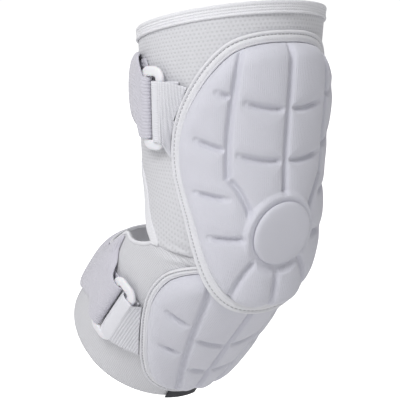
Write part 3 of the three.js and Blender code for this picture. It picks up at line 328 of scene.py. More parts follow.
class Pad:
    """A moulded pad: its outline, grooves and stand-off"""

    def __init__(self, arm, name):
        upper = name == "upper"
        size = arm.size
        self.arm = arm
        row = PADS[name]
        length = size.upper_length if upper else size.lower_length
        self.middle = row["middle"] * length
        self.reach = row["reach"] * length
        self.half = row["half_turn"] * arm.turn_length
        self.outline = UPPER_OUTLINE if upper else LOWER_OUTLINE
        self.grooves = UPPER_GROOVES if upper else LOWER_GROOVES
        self.share = row["binding"]
        self.rise = arm.rise if upper else (lambda length: np.zeros_like(length))

    def loop(self, count, grow=0.0):
        """Evenly spaced flat points round the outline, grown outward"""
        half = np.array([(side * self.half, self.middle + place * self.reach)
                         for place, side in zip(self.outline["place"], self.outline["side"])])
        corners = np.concatenate([half, half[-2:0:-1] * (-1, 1)])
        n, dense = len(corners), []
        for i in range(n):
            a, b, c, d = (corners[(i + k - 1) % n] for k in range(4))
            ab, bc, cd = (np.linalg.norm(q - p) ** 0.5 for p, q in ((a, b), (b, c), (c, d)))
            out = ((b - a) / ab - (c - a) / (ab + bc) + (c - b) / bc) * bc
            into = ((c - b) / bc - (d - b) / (bc + cd) + (d - c) / cd) * bc
            for t in np.linspace(0, 1, 24, endpoint=False):
                dense.append(b * (2 * t**3 - 3 * t**2 + 1) + c * (3 * t**2 - 2 * t**3)
                             + out * (t**3 - 2 * t**2 + t) + into * (t**3 - t**2))
        dense = np.array(dense + dense[:1])
        run = np.concatenate([[0], np.cumsum(np.linalg.norm(np.diff(dense, axis=0), axis=1))])
        places = np.linspace(0, run[-1], count, endpoint=False)
        points = np.stack([np.interp(places, run, dense[:, k]) for k in (0, 1)], axis=-1)
        tangent = np.roll(points, -1, axis=0) - np.roll(points, 1, axis=0)
        tangent /= np.linalg.norm(tangent, axis=1)[:, None]
        return points + grow * np.stack([-tangent[:, 1], tangent[:, 0]], axis=-1)

    def binding_turn(self, s):
        """Half turn in degrees that the binding reaches at lengths along the hollow"""
        loop = self.loop(240, 0.5 * MM + self.arm.size.binding_width * self.share)
        loop = loop[loop[:, 0] >= 0]
        order = np.argsort(loop[:, 1])
        length = np.interp(s, self.arm.along(loop[order, 1]), loop[order, 1])
        return np.interp(length, loop[order, 1], loop[order, 0]) / self.arm.turn_length

    def groove_paths(self):
        """Flat points along each groove"""
        paths = []
        for start, start_side, end, end_side, bow, twin in self.grooves:
            for hand in ((1, -1) if twin else (1,)):
                a = np.array([hand * start_side * self.half, self.middle + start * self.reach])
                b = np.array([hand * end_side * self.half, self.middle + end * self.reach])
                size = np.linalg.norm(b - a)
                t = np.linspace(0, 1, 9)[:, None]
                lift = 4 * t * (1 - t) * bow * size
                upright = abs(b[1] - a[1]) > abs(b[0] - a[0])
                paths.append(a + (b - a) * t + lift * ((hand, 0) if upright else (0, 1)))
        return paths


def path_distance(path, points, closed=False):
    """Distance from flat points to a polyline"""
    best = np.full(len(points), 1e9)
    ends = np.roll(path, -1, axis=0) if closed else path[1:]
    for a, b in zip(path, ends):
        d = b - a
        t = np.clip(((points - a) @ d) / max(d @ d, 1e-18), 0, 1)
        best = np.minimum(best, np.linalg.norm(points - a - t[:, None] * d, axis=1))
    return best


def grid_mesh(name, across, along, place, flat):
    """A grid moved to its place: place and flat give points and flat sizes from shares 0 to 1"""
    bm = bmesh.new()
    bmesh.ops.create_grid(bm, x_segments=across, y_segments=along, size=0.5)
    mesh = bpy.data.meshes.new(name)
    bm.to_mesh(mesh)
    bm.free()
    square = np.empty(len(mesh.vertices) * 3)
    mesh.vertices.foreach_get("co", square)
    u, v = np.clip(square[0::3] + 0.5, 0, 1), np.clip(square[1::3] + 0.5, 0, 1)
    mesh.vertices.foreach_set("co", np.ascontiguousarray(place(u, v), float).ravel())
    corners = np.empty(len(mesh.loops), int)
    mesh.loops.foreach_get("vertex_index", corners)
    sizes = np.stack(np.broadcast_arrays(*flat(u, v), u)[:2], axis=-1)
    mesh.uv_layers.new(name="flat").data.foreach_set("uv", sizes[corners].ravel())
    return mesh


def close_mesh(mesh, fill=True):
    """Merges a grid's meeting edges, fills its open ends and turns its faces outward"""
    bm = bmesh.new()
    bm.from_mesh(mesh)
    bmesh.ops.remove_doubles(bm, verts=bm.verts, dist=0.002 * MM)
    bmesh.ops.dissolve_degenerate(bm, edges=bm.edges, dist=0.001 * MM)
    if fill:
        bmesh.ops.holes_fill(bm, edges=[e for e in bm.edges if e.is_boundary], sides=0)
    bmesh.ops.recalc_face_normals(bm, faces=bm.faces)
    bm.to_mesh(mesh)
    bm.free()
    return mesh


def place_piece(mesh, material, nodes=()):
    """Puts a finished mesh on the guard, smooth, in place of its solids"""
    for polygon in mesh.polygons:
        polygon.use_smooth = True
    mesh.materials.append(material)
    piece = bpy.data.objects.new(mesh.name, mesh)
    bpy.context.scene.collection.objects.link(piece)
    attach(piece, "root")
    if nodes:
        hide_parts(*nodes)
    return piece


def along_path(path, t):
    """Values of a path's columns at shares of its length"""
    step = np.hypot(path[1:, 0] - path[:-1, 0], path[1:, 1] - path[:-1, 1])
    run = np.concatenate([[0], np.cumsum(step)])
    where = t * run[-1]
    return [np.interp(where, run, path[:, k]) for k in range(path.shape[1])], run[-1]


class Shader:
    """A node material being put together"""

    def __init__(self, name, colour, roughness):
        self.material = bpy.data.materials.new(name)
        self.material.use_nodes = True
        self.tree = self.material.node_tree
        self.surface = self.tree.nodes["Principled BSDF"]
        self.surface.inputs["Base Color"].default_value = (*colour, 1)
        self.surface.inputs["Roughness"].default_value = roughness
        self.surface.inputs["Specular IOR Level"].default_value = 0.3

    def set(self, name, value):
        self.surface.inputs[name].default_value = value

    def node(self, kind, **settings):
        made = self.tree.nodes.new(kind)
        for name, value in settings.items():
            setattr(made, name, value)
        return made

    def feed(self, socket, value):
        if isinstance(value, bpy.types.NodeSocket):
            self.tree.links.new(value, socket)
        else:
            socket.default_value = value

    def math(self, operation, a, b=0.0, c=0.0):
        made = self.node("ShaderNodeMath", operation=operation)
        for socket, value in zip(made.inputs, (a, b, c)):
            self.feed(socket, value)
        return made.outputs[0]

    def flat(self):
        """The piece's own flat sizes, in metres"""
        uv = self.node("ShaderNodeUVMap", uv_map="flat")
        parts = self.node("ShaderNodeSeparateXYZ")
        self.tree.links.new(uv.outputs[0], parts.inputs[0])
        return parts.outputs[0], parts.outputs[1]

    def noise(self, scale, detail=3.0):
        """Unevenness on object coordinates"""
        made = self.node("ShaderNodeTexNoise")
        place = self.node("ShaderNodeTexCoord")
        self.tree.links.new(place.outputs["Object"], made.inputs["Vector"])
        made.inputs["Scale"].default_value = scale
        made.inputs["Detail"].default_value = detail
        return made.outputs["Fac"]

    def wave(self, value, pitch):
        """0 to 1 and back along a length, once for each pitch"""
        turned = self.math("MULTIPLY", value, 2 * math.pi / pitch)
        return self.math("MULTIPLY_ADD", self.math("SINE", turned), 0.5, 0.5)

    def holes(self, x, y, pitch, row, radius):
        """1 inside a staggered field of round holes, 0 outside"""
        rows = self.math("DIVIDE", y, row)
        odd = self.math("FLOORED_MODULO", self.math("FLOOR", rows), 2.0)
        lift = self.math("MULTIPLY", odd, 0.5)
        cross = self.math("SUBTRACT", self.math("FRACT", self.math("ADD", self.math(
            "DIVIDE", x, pitch), lift)), 0.5)
        down = self.math("SUBTRACT", self.math("FRACT", rows), 0.5)
        wide = self.math("POWER", self.math("MULTIPLY", cross, pitch), 2.0)
        high = self.math("POWER", self.math("MULTIPLY", down, row), 2.0)
        away = self.math("SQRT", self.math("ADD", wide, high))
        made = self.node("ShaderNodeMapRange", interpolation_type="SMOOTHSTEP")
        for name, value in (("Value", away), ("From Min", radius * 0.55),
                            ("From Max", radius * 1.35), ("To Min", 1.0), ("To Max", 0.0)):
            self.feed(made.inputs[name], value)
        return made.outputs[0]

    def shade(self, mask, light, dark):
        """Base colour between two colours"""
        made = self.node("ShaderNodeMix", data_type="RGBA")
        self.feed(made.inputs[0], mask)
        made.inputs[6].default_value = (*light, 1)
        made.inputs[7].default_value = (*dark, 1)
        self.tree.links.new(made.outputs[2], self.surface.inputs["Base Color"])

    def relief(self, *layers):
        """Bump from (height 0 to 1, depth in metres) layers"""
        normal = None
        for height, depth in layers:
            made = self.node("ShaderNodeBump")
            made.inputs["Distance"].default_value = depth
            self.tree.links.new(height, made.inputs["Height"])
            if normal is not None:
                self.tree.links.new(normal, made.inputs["Normal"])
            normal = made.outputs[0]
        self.tree.links.new(normal, self.surface.inputs["Normal"])


def tint(slot, share=1.0):
    """A slot's recorded colour, made lighter or darker by a share"""
    return tuple(value * share for value in MATERIALS[slot]["base_color"][:3])


def soft_cloth(shader, sheen):
    """Soft sheen of brushed or knitted cloth"""
    shader.set("Sheen Weight", sheen)
    shader.set("Sheen Roughness", 0.5)


def mesh_cloth(look):
    """Perforated mesh of the upper sleeve, soft round holes in staggered rows"""
    shader = Shader("mesh_cloth", tint("mesh_fabric"), 0.95)
    soft_cloth(shader, 0.15)
    x, y = shader.flat()
    holes = shader.holes(x, y, look.hole_pitch, look.hole_pitch * 0.9, look.hole_pitch * 0.26)
    shader.shade(shader.math("MULTIPLY", holes, 0.4), tint("mesh_fabric"),
                 tint("mesh_fabric", 0.72))
    shader.relief((shader.math("SUBTRACT", 1.0, holes), 0.00016), (shader.noise(900.0), 0.00012))
    return shader.material


def cuff_cloth(look):
    """Finer square grid of the forearm's cuff"""
    shader = Shader("cuff_cloth", tint("mesh_fabric", 0.95), 0.95)
    soft_cloth(shader, 0.15)
    x, y = shader.flat()
    grid = shader.math("MAXIMUM", shader.wave(x, look.grid_pitch), shader.wave(y, look.grid_pitch))
    shader.shade(shader.math("MULTIPLY", shader.math("SUBTRACT", 1.0, grid), 0.9),
                 tint("mesh_fabric", 1.05), tint("mesh_fabric", 0.74))
    shader.relief((grid, 0.00012), (shader.noise(900.0), 0.0001))
    return shader.material


def pad_cloth(look):
    """Brushed knit pressed over foam: faint upright ribs and fuzz"""
    shader = Shader("pad_cloth", tint("pad_fabric"), 0.9)
    soft_cloth(shader, 0.25)
    x, _ = shader.flat()
    ribs = shader.wave(x, look.knit_pitch)
    fuzz = shader.noise(1400.0, 2.0)
    patches = shader.noise(60.0, 2.0)
    shader.shade(shader.math("MULTIPLY", patches, 0.25), tint("pad_fabric", 1.07),
                 tint("pad_fabric", 0.98))
    shader.relief((ribs, 0.00009), (fuzz, 0.00018))
    return shader.material


def binding_cloth():
    """Ribbed tape with a stitch line beside its cord, its needle holes drawn as dots of painted
    shade. Flat y runs from 0 to 1 across it
    """
    shader = Shader("binding_cloth", tint("binding_tape"), 0.95)
    soft_cloth(shader, 0.25)
    x, y = shader.flat()
    ribs = shader.wave(x, 0.0011)
    # Painted shade: dark dots along the stitch line stand in for the shade in the needle holes
    needle_hole_shade = shader.math("GREATER_THAN", shader.wave(x, 0.0024), 0.3)
    line = shader.math("LESS_THAN", shader.math("ABSOLUTE", shader.math("SUBTRACT", y, 0.66)), 0.04)
    shader.shade(shader.math("MULTIPLY", needle_hole_shade, line), tint("binding_tape", 1.05),
                 tint("binding_tape", 0.62))
    shader.relief((ribs, 0.0001), (shader.noise(1500.0, 2.0), 0.0002))
    return shader.material


def hem_cloth():
    """Knitted hem tape with fine ribs along it"""
    shader = Shader("hem_cloth", tint("binding_tape"), 0.95)
    soft_cloth(shader, 0.2)
    x, _ = shader.flat()
    ribs = shader.wave(x, 0.0016)
    shader.shade(shader.math("MULTIPLY", shader.noise(300.0), 0.2), tint("binding_tape", 1.09),
                 tint("binding_tape", 0.95))
    shader.relief((ribs, 0.0001), (shader.noise(1500.0, 2.0), 0.00015))
    return shader.material


def strap_cloth():
    """Soft loop-faced strap with fine ridges across it"""
    shader = Shader("strap_cloth", tint("strap_fabric"), 0.95)
    soft_cloth(shader, 0.3)
    _, y = shader.flat()
    ridges = shader.wave(y, 0.0022)
    shader.shade(shader.math("MULTIPLY", shader.noise(500.0), 0.3), tint("strap_fabric", 1.1),
                 tint("strap_fabric", 0.92))
    shader.relief((ridges, 0.00022), (shader.noise(1200.0), 0.0003))
    return shader.material


def webbing_cloth(look, name, plain):
    """Ribbed elastic: ribs along the bar with a fine cross grid, past a plain band. The valleys
    between the ribs carry painted shade
    """
    shader = Shader(name, tint("elastic_webbing"), 0.9)
    soft_cloth(shader, 0.15)
    x, y = shader.flat()
    ribs = shader.wave(x, look.rib_pitch)
    ribbed = shader.math("GREATER_THAN", x, plain)
    cross = shader.wave(y, 0.0012)
    # Painted shade: the valleys between the ribs are darker than their crests
    shade = shader.math("MULTIPLY", shader.math("SUBTRACT", 1.0, ribs), ribbed)
    shader.shade(shader.math("MULTIPLY", shade, 0.5), tint("elastic_webbing", 1.12),
                 tint("elastic_webbing", 0.88))
    shader.relief((shader.math("MULTIPLY", ribs, ribbed), 0.00028), (cross, 0.00012))
    return shader.material


def ring_plastic():
    """Satin moulded plastic that lets a little light in"""
    shader = Shader("ring_plastic", tint("ring_plastic", 1.1), 0.42)
    shader.set("Subsurface Weight", 0.08)
    shader.set("Subsurface Scale", 0.002)
    shader.relief((shader.noise(700.0, 2.0), 0.00004))
    return shader.material


def badge_plastic():
    """Matt moulded plastic with a fine grain"""
    shader = Shader("badge_plastic", tint("badge_plastic"), 0.55)
    grain = shader.noise(1600.0, 2.0)
    shader.shade(shader.math("MULTIPLY", shader.noise(90.0), 0.15), tint("badge_plastic", 1.02),
                 tint("badge_plastic", 0.92))
    shader.relief((grain, 0.00006))
    return shader.material


def label_cloth():
    """Black woven label, bare but for its weave"""
    shader = Shader("label_cloth", tint("label_fabric"), 0.8)
    soft_cloth(shader, 0.1)
    x, y = shader.flat()
    weave = shader.math("MULTIPLY", shader.wave(x, 0.0006), shader.wave(y, 0.0006))
    shader.shade(weave, tint("label_fabric"), tint("label_fabric", 2.6))
    shader.relief((weave, 0.00012))
    return shader.material


def sleeve_cloth(arm, part, rows):
    """The sleeve's cloth above or below the seam, cut away at the crook"""
    size = arm.size

    def reach(u, v):
        turn = u * 360 - 180
        seam = arm.crook(turn, part)
        far = arm.top_rim(turn) if part == "upper" else arm.low_rim(turn)
        return seam + (far - seam) * v, turn

    def place(u, v):
        s, turn = reach(u, v)
        return arm.point(s, turn, wrinkles(arm, s, turn))

    def flat(u, v):
        s, turn = reach(u, v)
        slope = TOP_SLOPE * size.upper_length * (1 - np.cos(np.radians(turn)))
        return turn * arm.turn_length, s + slope * np.clip(s / size.upper_length, 0, 1)

    return close_mesh(grid_mesh(part + "_sleeve_cloth", 280, rows, place, flat), fill=False)


def wrinkles(arm, s, turn):
    """Folds that fan out from the binding along the seam, the seam's crease and a slow sway"""
    fan_height, fan_turn, fan_pitch, fan_spread = 1.2 * MM, 50, 3.2 * MM, 0.2
    crease_depth, crease_width = 0.9 * MM, 2.2 * MM
    sway_height, sway_length, sway_end = 0.35 * MM, 22 * MM, 66
    around = np.abs(turn)
    run = (around - fan_turn) * arm.turn_length
    rise = s - arm.crook(np.minimum(around, CORNER), "upper")
    fan = np.sin(2 * math.pi * rise / (fan_pitch + fan_spread * np.maximum(run, 0)))
    gathers = fan_height * fan * bump((run - 8 * MM) / (26 * MM)) * bump(rise / (10 * MM))
    crease = -crease_depth * bump(rise / crease_width) * (1 - smooth((around - CORNER + 2) / 4))
    sway = sway_height * np.sin(np.radians(turn * 3) + s / sway_length) * (
        1 - smooth((around - sway_end) / 12))
    return gathers + crease + sway


def sheet_size(mesh):
    """Width and length of the smallest rectangle of cloth that a piece is cut from"""
    flat = np.empty(len(mesh.loops) * 2)
    mesh.uv_layers["flat"].data.foreach_get("uv", flat)
    return np.ptp(flat[0::2]), np.ptp(flat[1::2])


def closed_band(name, count, rows, ring, flat):
    """A closed band: ring(u, v) gives its places round and across"""
    return close_mesh(grid_mesh(name, count, rows, ring, flat), fill=False)


def upper_hem(arm):
    """Hem round the upper rim: three fine ridges over a proud lower lip"""
    size = arm.size
    profile = np.array([(0, -0.4), (0, 0.3), (0.06, 0.85), (0.16, 0.95), (0.22, 0.35), (0.3, 0.3),
                        (0.37, 0.7), (0.44, 0.3), (0.52, 0.3), (0.59, 0.7), (0.66, 0.3),
                        (0.74, 0.3), (0.81, 0.75), (0.95, 0.75), (1.05, 0.4), (1.06, -0.4),
                        (0, -0.4)], float)

    def ring(u, v):
        turn = u * 360 - 180
        (up, out), _ = along_path(profile * (size.hem_height / MM, 1), v)
        top = arm.top_rim(turn)
        return arm.point(top - size.hem_height + up * MM, turn, size.clearance + out * MM)

    return closed_band("upper_hem_tape", 300, 51, ring,
                       lambda u, v: (u * 360 * arm.turn_length, v * 2 * size.hem_height))


def crook_edge(arm, count):
    """Turn and length round the whole crook opening, evenly spaced"""
    turns = np.linspace(CORNER, 360 - CORNER, 200)
    over, under = np.ones_like(turns), np.zeros_like(turns)
    edge = np.concatenate([np.stack([turns, arm.crook(turns, "upper"), over], -1), np.stack(
        [turns[::-1], arm.crook(turns[::-1], "lower"), under], -1)[1:-1]])
    scale = np.maximum(arm.stretch_at(edge[:, 1], edge[:, 0]), 0.25)
    ahead, behind = np.roll(edge, -1, axis=0), np.roll(edge, 1, axis=0)
    across = (ahead[:, 0] - behind[:, 0]) * arm.turn_length
    down = (ahead[:, 1] - behind[:, 1]) * scale
    length = np.hypot(across, down)
    normal = np.stack([-down / length, across / length], -1)
    for _ in range(30):
        normal = (normal + np.roll(normal, 1, axis=0) + np.roll(normal, -1, axis=0)) / 3
    normal /= np.linalg.norm(normal, axis=1)[:, None]
    run = np.concatenate([[0], np.cumsum(length / 2)])
    rows = np.column_stack([edge[:, :2], normal, scale, edge[:, 2]])
    rows = np.concatenate([rows, rows[:1]])
    places = np.linspace(0, run[-1], count + 1)
    return np.stack([np.interp(places, run, rows[:, k]) for k in range(6)], -1), run[-1]


def crook_hem(arm):
    """Flat strip along the upper sleeve's crook edge and a slim rolled rim on the cuff's"""
    size = arm.size
    count = 520
    rows, length = crook_edge(arm, count)
    strip = np.array([(0, -1.2), (-0.3, -0.3), (0.5, 0.15), (4.2, 0.1), (6.4, 0), (7, -0.3),
                      (7, -1.2), (0, -1.2)])
    roll = np.array([(-0.2, -1.2), (-0.4, -0.2), (0.1, 0.3), (0.8, 0.35), (1.5, 0.1), (2.2, -0.4),
                     (2.2, -1.2), (-0.2, -1.2)])
    upper = np.clip(rows[:, 5], 0, 1)

    def ring(u, v):
        index = np.arange(count + 1)
        edge = [np.interp(u * count, index, rows[:, k]) for k in range(5)]
        share = smooth(np.interp(u * count, index, upper))
        corner = np.arange(len(strip)) / (len(strip) - 1)
        out, up = ((1 - share) * np.interp(v, corner, roll[:, k])
                   + share * np.interp(v, corner, strip[:, k]) for k in (0, 1))
        turn = edge[0] + edge[2] * out * MM / arm.turn_length
        s = arm.travel(edge[1], edge[3] * out * MM, edge[4])
        return arm.point(s, turn, size.clearance + up * MM)

    girth = 14 * MM
    return closed_band("crook_hem_tape", count, 28, ring, lambda u, v: (u * length, v * girth))


def badge_plane(arm):
    """Middle and normal of the flat place under the badge"""
    length = BADGE_PLACE * arm.upper_reach
    s = arm.along(length)
    seat = BADGE_SEAT * arm.size.pad_height
    middle = arm.point(s, 0, arm.size.clearance + arm.rise(length) + seat)
    swing = float(np.clip(-s / arm.radius, 0, arm.size.bend))
    return np.ravel(middle), np.array([math.cos(swing), 0, -math.sin(swing)]), length


def pad_height(arm, pad, points, badge):
    """Height of the puffed, grooved foam over its base at flat points"""
    size = arm.size
    inside = path_distance(pad.loop(160), points, closed=True)
    edge = np.clip(inside / size.pad_roll, 0, 1)
    height = size.pad_edge + (size.pad_height - size.pad_edge) * np.sqrt(1 - (1 - edge) ** 2)
    carved, valley_share = np.zeros(len(points)), 0.72
    for path in pad.groove_paths():
        near = path_distance(path, points)
        end = np.minimum(*(np.hypot(*(points - path[k]).T) for k in (0, -1)))
        short = np.hypot(*(path[-1] - path[0])) < 30 * MM
        valley = np.exp(-np.abs(near / (size.groove_width * 0.45)) ** 2.4)
        shoulder = np.exp(-(near / (size.groove_width * 1.35)) ** 2)
        taper = 0.5 + 0.5 * smooth(end / (5 * MM)) if short else 1
        carved = np.maximum(carved, (valley_share * valley + (1 - valley_share) * shoulder) * taper)
    height -= np.minimum(size.groove_depth, height * 0.62) * carved
    if badge:
        middle, normal, length = badge_plane(arm)
        x, y = points.T
        low = (arm.flat(x, y, 0) - middle) @ normal
        high = (arm.flat(x, y, 0.01) - middle) @ normal
        floor = -low / (high - low) * 0.01 - size.clearance - pad.rise(y)
        away = np.hypot(x, y - length)
        pocket = smooth((size.badge_radius + 4.6 * MM - away) / (3.6 * MM))
        height += (floor - height) * pocket
    return height


def moulded_pad(arm, pad, name, count, badge=False):
    """A pad's face on a squared-off disc of rings, closed round its rim and back"""
    loop = pad.loop(1440)
    centre = np.array([0, pad.middle])
    spokes = loop - centre
    bearing = np.unwrap(np.arctan2(spokes[:, 1], spokes[:, 0]))
    reach = np.hypot(*spokes.T)
    order = np.argsort(bearing % (2 * math.pi))
    bearing, reach = (bearing % (2 * math.pi))[order], reach[order]

    def disc(u, v):
        a, b = 2 * u - 1, 2 * v - 1
        x, y = a * np.sqrt(1 - b * b / 2), b * np.sqrt(1 - a * a / 2)
        angle = np.arctan2(y * 1.3, x) % (2 * math.pi)
        far = np.interp(angle, bearing, reach, period=2 * math.pi)
        share = np.minimum(np.hypot(x, y), 1)
        return centre + (share * far)[:, None] * np.stack([np.cos(angle), np.sin(angle)], -1)

    def place(u, v):
        points = disc(u, v)
        x, y = points.T
        base = arm.size.clearance + pad.rise(y)
        return arm.flat(x, y, base + pad_height(arm, pad, points, badge))

    mesh = grid_mesh(name, count, count, place, lambda u, v: tuple(disc(u, v).T))
    bm = bmesh.new()
    bm.from_mesh(mesh)
    flat = bm.loops.layers.uv["flat"]
    rim = {v: v.link_loops[0][flat].uv.copy() for e in bm.edges if e.is_boundary for v in e.verts}
    edges = [e for e in bm.edges if e.is_boundary]
    back_shares = (1.0, 0.96, 0.8, 0.5, 0.2)
    for share in back_shares:
        made = bmesh.ops.extrude_edge_only(bm, edges=edges)["geom"]
        edges = [e for e in made if isinstance(e, bmesh.types.BMEdge)]
        fresh = {}
        for vert in (v for v in made if isinstance(v, bmesh.types.BMVert)):
            spot = rim_spot(vert, rim)
            x, y = spot[0] * share, pad.middle + (spot[1] - pad.middle) * share
            off = arm.size.clearance + float(pad.rise(np.array(y)))
            vert.co = Vector(np.ravel(arm.flat(np.array(x), np.array(y), off)))
            fresh[vert] = spot
        rim = fresh
    bmesh.ops.holes_fill(bm, edges=[e for e in bm.edges if e.is_boundary], sides=0)
    bmesh.ops.recalc_face_normals(bm, faces=bm.faces)
    bm.to_mesh(mesh)
    bm.free()
    return mesh


def rim_spot(vert, rim):
    """The flat place of the rim vertex that an extruded vertex came from"""
    for edge in vert.link_edges:
        other = edge.other_vert(vert)
        if other in rim:
            return rim[other]
    raise ValueError("a rim vertex has no neighbour on the ring before it")


def binding_tape(arm, pad, name):
    """Tape round a pad: a wide fuzzy strip, a stitched dip and a round cord outside"""
    size = arm.size
    count = 520
    width = size.binding_width * pad.share
    inner, outer = pad.loop(count, 0.3 * MM), pad.loop(count, 0.3 * MM + width)
    inner, outer = (np.concatenate([loop, loop[:1]]) for loop in (inner, outer))
    run = np.concatenate([[0], np.cumsum(np.linalg.norm(np.diff(inner, axis=0), axis=1))])
    profile = np.array([(0, 0), (-0.02, 0.9), (0.05, 1.55), (0.16, 1.7), (0.2, 1.5), (0.25, 1.75),
                        (0.4, 1.95), (0.55, 1.75), (0.63, 1.05), (0.68, 1.05), (0.74, 1.75),
                        (0.83, 2.1), (0.93, 1.85), (1.0, 1.1), (1.0, 0.3), (0.96, 0), (0, 0)])

    def ring(u, v):
        index = np.arange(count + 1)
        a, b = (np.stack([np.interp(u * count, index, loop[:, k]) for k in (0, 1)], -1)
                for loop in (inner, outer))
        (out, up), _ = along_path(profile * (width / MM, 1), v)
        spot = a + (b - a) * (out * MM / width)[:, None]
        return arm.flat(spot[:, 0], spot[:, 1], size.clearance + pad.rise(spot[:, 1]) + up * MM)

    def flat(u, v):
        (out, _), _ = along_path(profile * (width / MM, 1), v)
        return np.interp(u * count, np.arange(count + 1), run), out * MM / width

    return closed_band(name, count, 44, ring, flat)


def domed_badge(arm):
    """Disc with a soft shoulder and a gently domed face"""
    size = arm.size
    middle, normal, _ = badge_plane(arm)
    profile = ((0.0, 1.2), (0.3, 1.19), (0.6, 1.13), (0.8, 1.03), (0.9, 0.93), (0.96, 0.78),
               (0.99, 0.6), (1.0, 0.35), (0.97, 0.12), (0.9, 0.05), (0.0, 0.05))
    bm = bmesh.new()
    points = [bm.verts.new((out * size.badge_radius, 0, high * size.badge_height))
              for out, high in profile]
    edges = [bm.edges.new(pair) for pair in zip(points, points[1:])]
    bmesh.ops.subdivide_edges(bm, edges=edges, cuts=2, smooth=0)
    bmesh.ops.spin(bm, geom=bm.verts[:] + bm.edges[:], cent=(0, 0, 0), axis=(0, 0, 1),
                   angle=2 * math.pi, steps=96, use_merge=True)
    bmesh.ops.remove_doubles(bm, verts=bm.verts, dist=0.002 * MM)
    bmesh.ops.recalc_face_normals(bm, faces=bm.faces)
    turned = Vector(normal).to_track_quat("Z", "Y").to_matrix().to_4x4()
    moved = Matrix.Translation(Vector(middle) + Vector(normal) * 0.1 * MM)
    bmesh.ops.transform(bm, matrix=moved @ turned, verts=bm.verts)
    mesh = bpy.data.meshes.new("domed_badge")
    bm.to_mesh(mesh)
    bm.free()
    return mesh


def edge_profile(thickness, width):
    """Cross-section of a band as (share of width, side) with rounded edges"""
    rounding = thickness / 2 / width
    steps = np.linspace(0, math.pi, 9)
    right = np.stack([1 - rounding + rounding * np.sin(steps), np.cos(steps)], -1)
    left = np.stack([rounding - rounding * np.sin(steps), -np.cos(steps)], -1)
    across = np.linspace(rounding, 1 - rounding, 22)[1:-1]
    top = np.stack([across, np.ones_like(across)], -1)
    return np.concatenate([left, top, right, top[::-1] * (1, -1), left[:1]])


def folded_band(arm, name, path, thickness, edges, steps, puff):
    """A band along a path of (turn, height, layer) rows, seen from the rings' side. Layer is -1
    on the layer below, 0 in the fold and 1 on the layer above, whose middle puffs up and whose
    edges bend down"""
    width, under_inset, edge_drop = 0.04, 5 * MM, 2.7 * MM
    profile = edge_profile(thickness, width)
    metric = path * (arm.turn_length, 1, 1)
    count = len(profile) - 1

    def frame_at(u):
        (x, off, layer), length = along_path(metric, u)
        (x1, off1, _), _ = along_path(metric, np.clip(u + 0.3 / steps, 0, 1))
        (x0, off0, _), _ = along_path(metric, np.clip(u - 0.3 / steps, 0, 1))
        size = np.maximum(np.hypot(x1 - x0, off1 - off0), 1e-9)
        return x, off, -(off1 - off0) / size, (x1 - x0) / size, layer, length

    def ring(u, v):
        x, off, nx, ny, layer, _ = frame_at(u)
        share, side = (np.interp(v * count, np.arange(count + 1), profile[:, k]) for k in (0, 1))
        turn = x / arm.turn_length
        lower, upper = edges(turn)
        inset = under_inset * np.clip(-layer, 0, 1)
        lower, upper = lower + inset, upper - inset
        away = np.abs(2 * share - 1)
        above = np.clip(layer, 0, 1)
        crown = above * (puff * (1 - away**2) - edge_drop * away**6)
        half = thickness / 2 * side
        return arm.point(lower + (upper - lower) * share, -(turn + nx * half / arm.turn_length),
                         off + crown + ny * half)

    def flat(u, v):
        length = frame_at(u)[-1]
        share = np.interp(v * count, np.arange(count + 1), profile[:, 0])
        return u * length, share * width

    return close_mesh(grid_mesh(name, steps, count, ring, flat))


class Ring:
    """A strap's ring: its middle along the hollow and its turn, on the rings' side"""

    def __init__(self, arm, name):
        upper = name == "upper"
        size = arm.size
        row = RINGS[name]
        self.middle = row["middle"] * (size.upper_length if upper else size.lower_length)
        self.turn = row["turn"]
        self.long = row["long"]
        self.drift = row["drift"] * size.strap_width
        self.flare = row["flare"] * size.strap_width
        self.puff = row["puff"] * MM
        self.table = UPPER_STRAP if upper else LOWER_STRAP
        self.upper = upper
        half = (size.ring_width - size.ring_bar) / 2 / arm.turn_length
        self.bars = (self.turn - half, self.turn + half)
        self.height = size.clearance + size.strap_thickness + 0.7 * MM + size.ring_thickness / 2


def fold(size, thickness, slack):
    """Half width and half height of a fold round a ring's bar"""
    return (size.ring_bar / 2 + slack + thickness / 2,
            size.ring_thickness / 2 + size.strap_slack + thickness / 2)


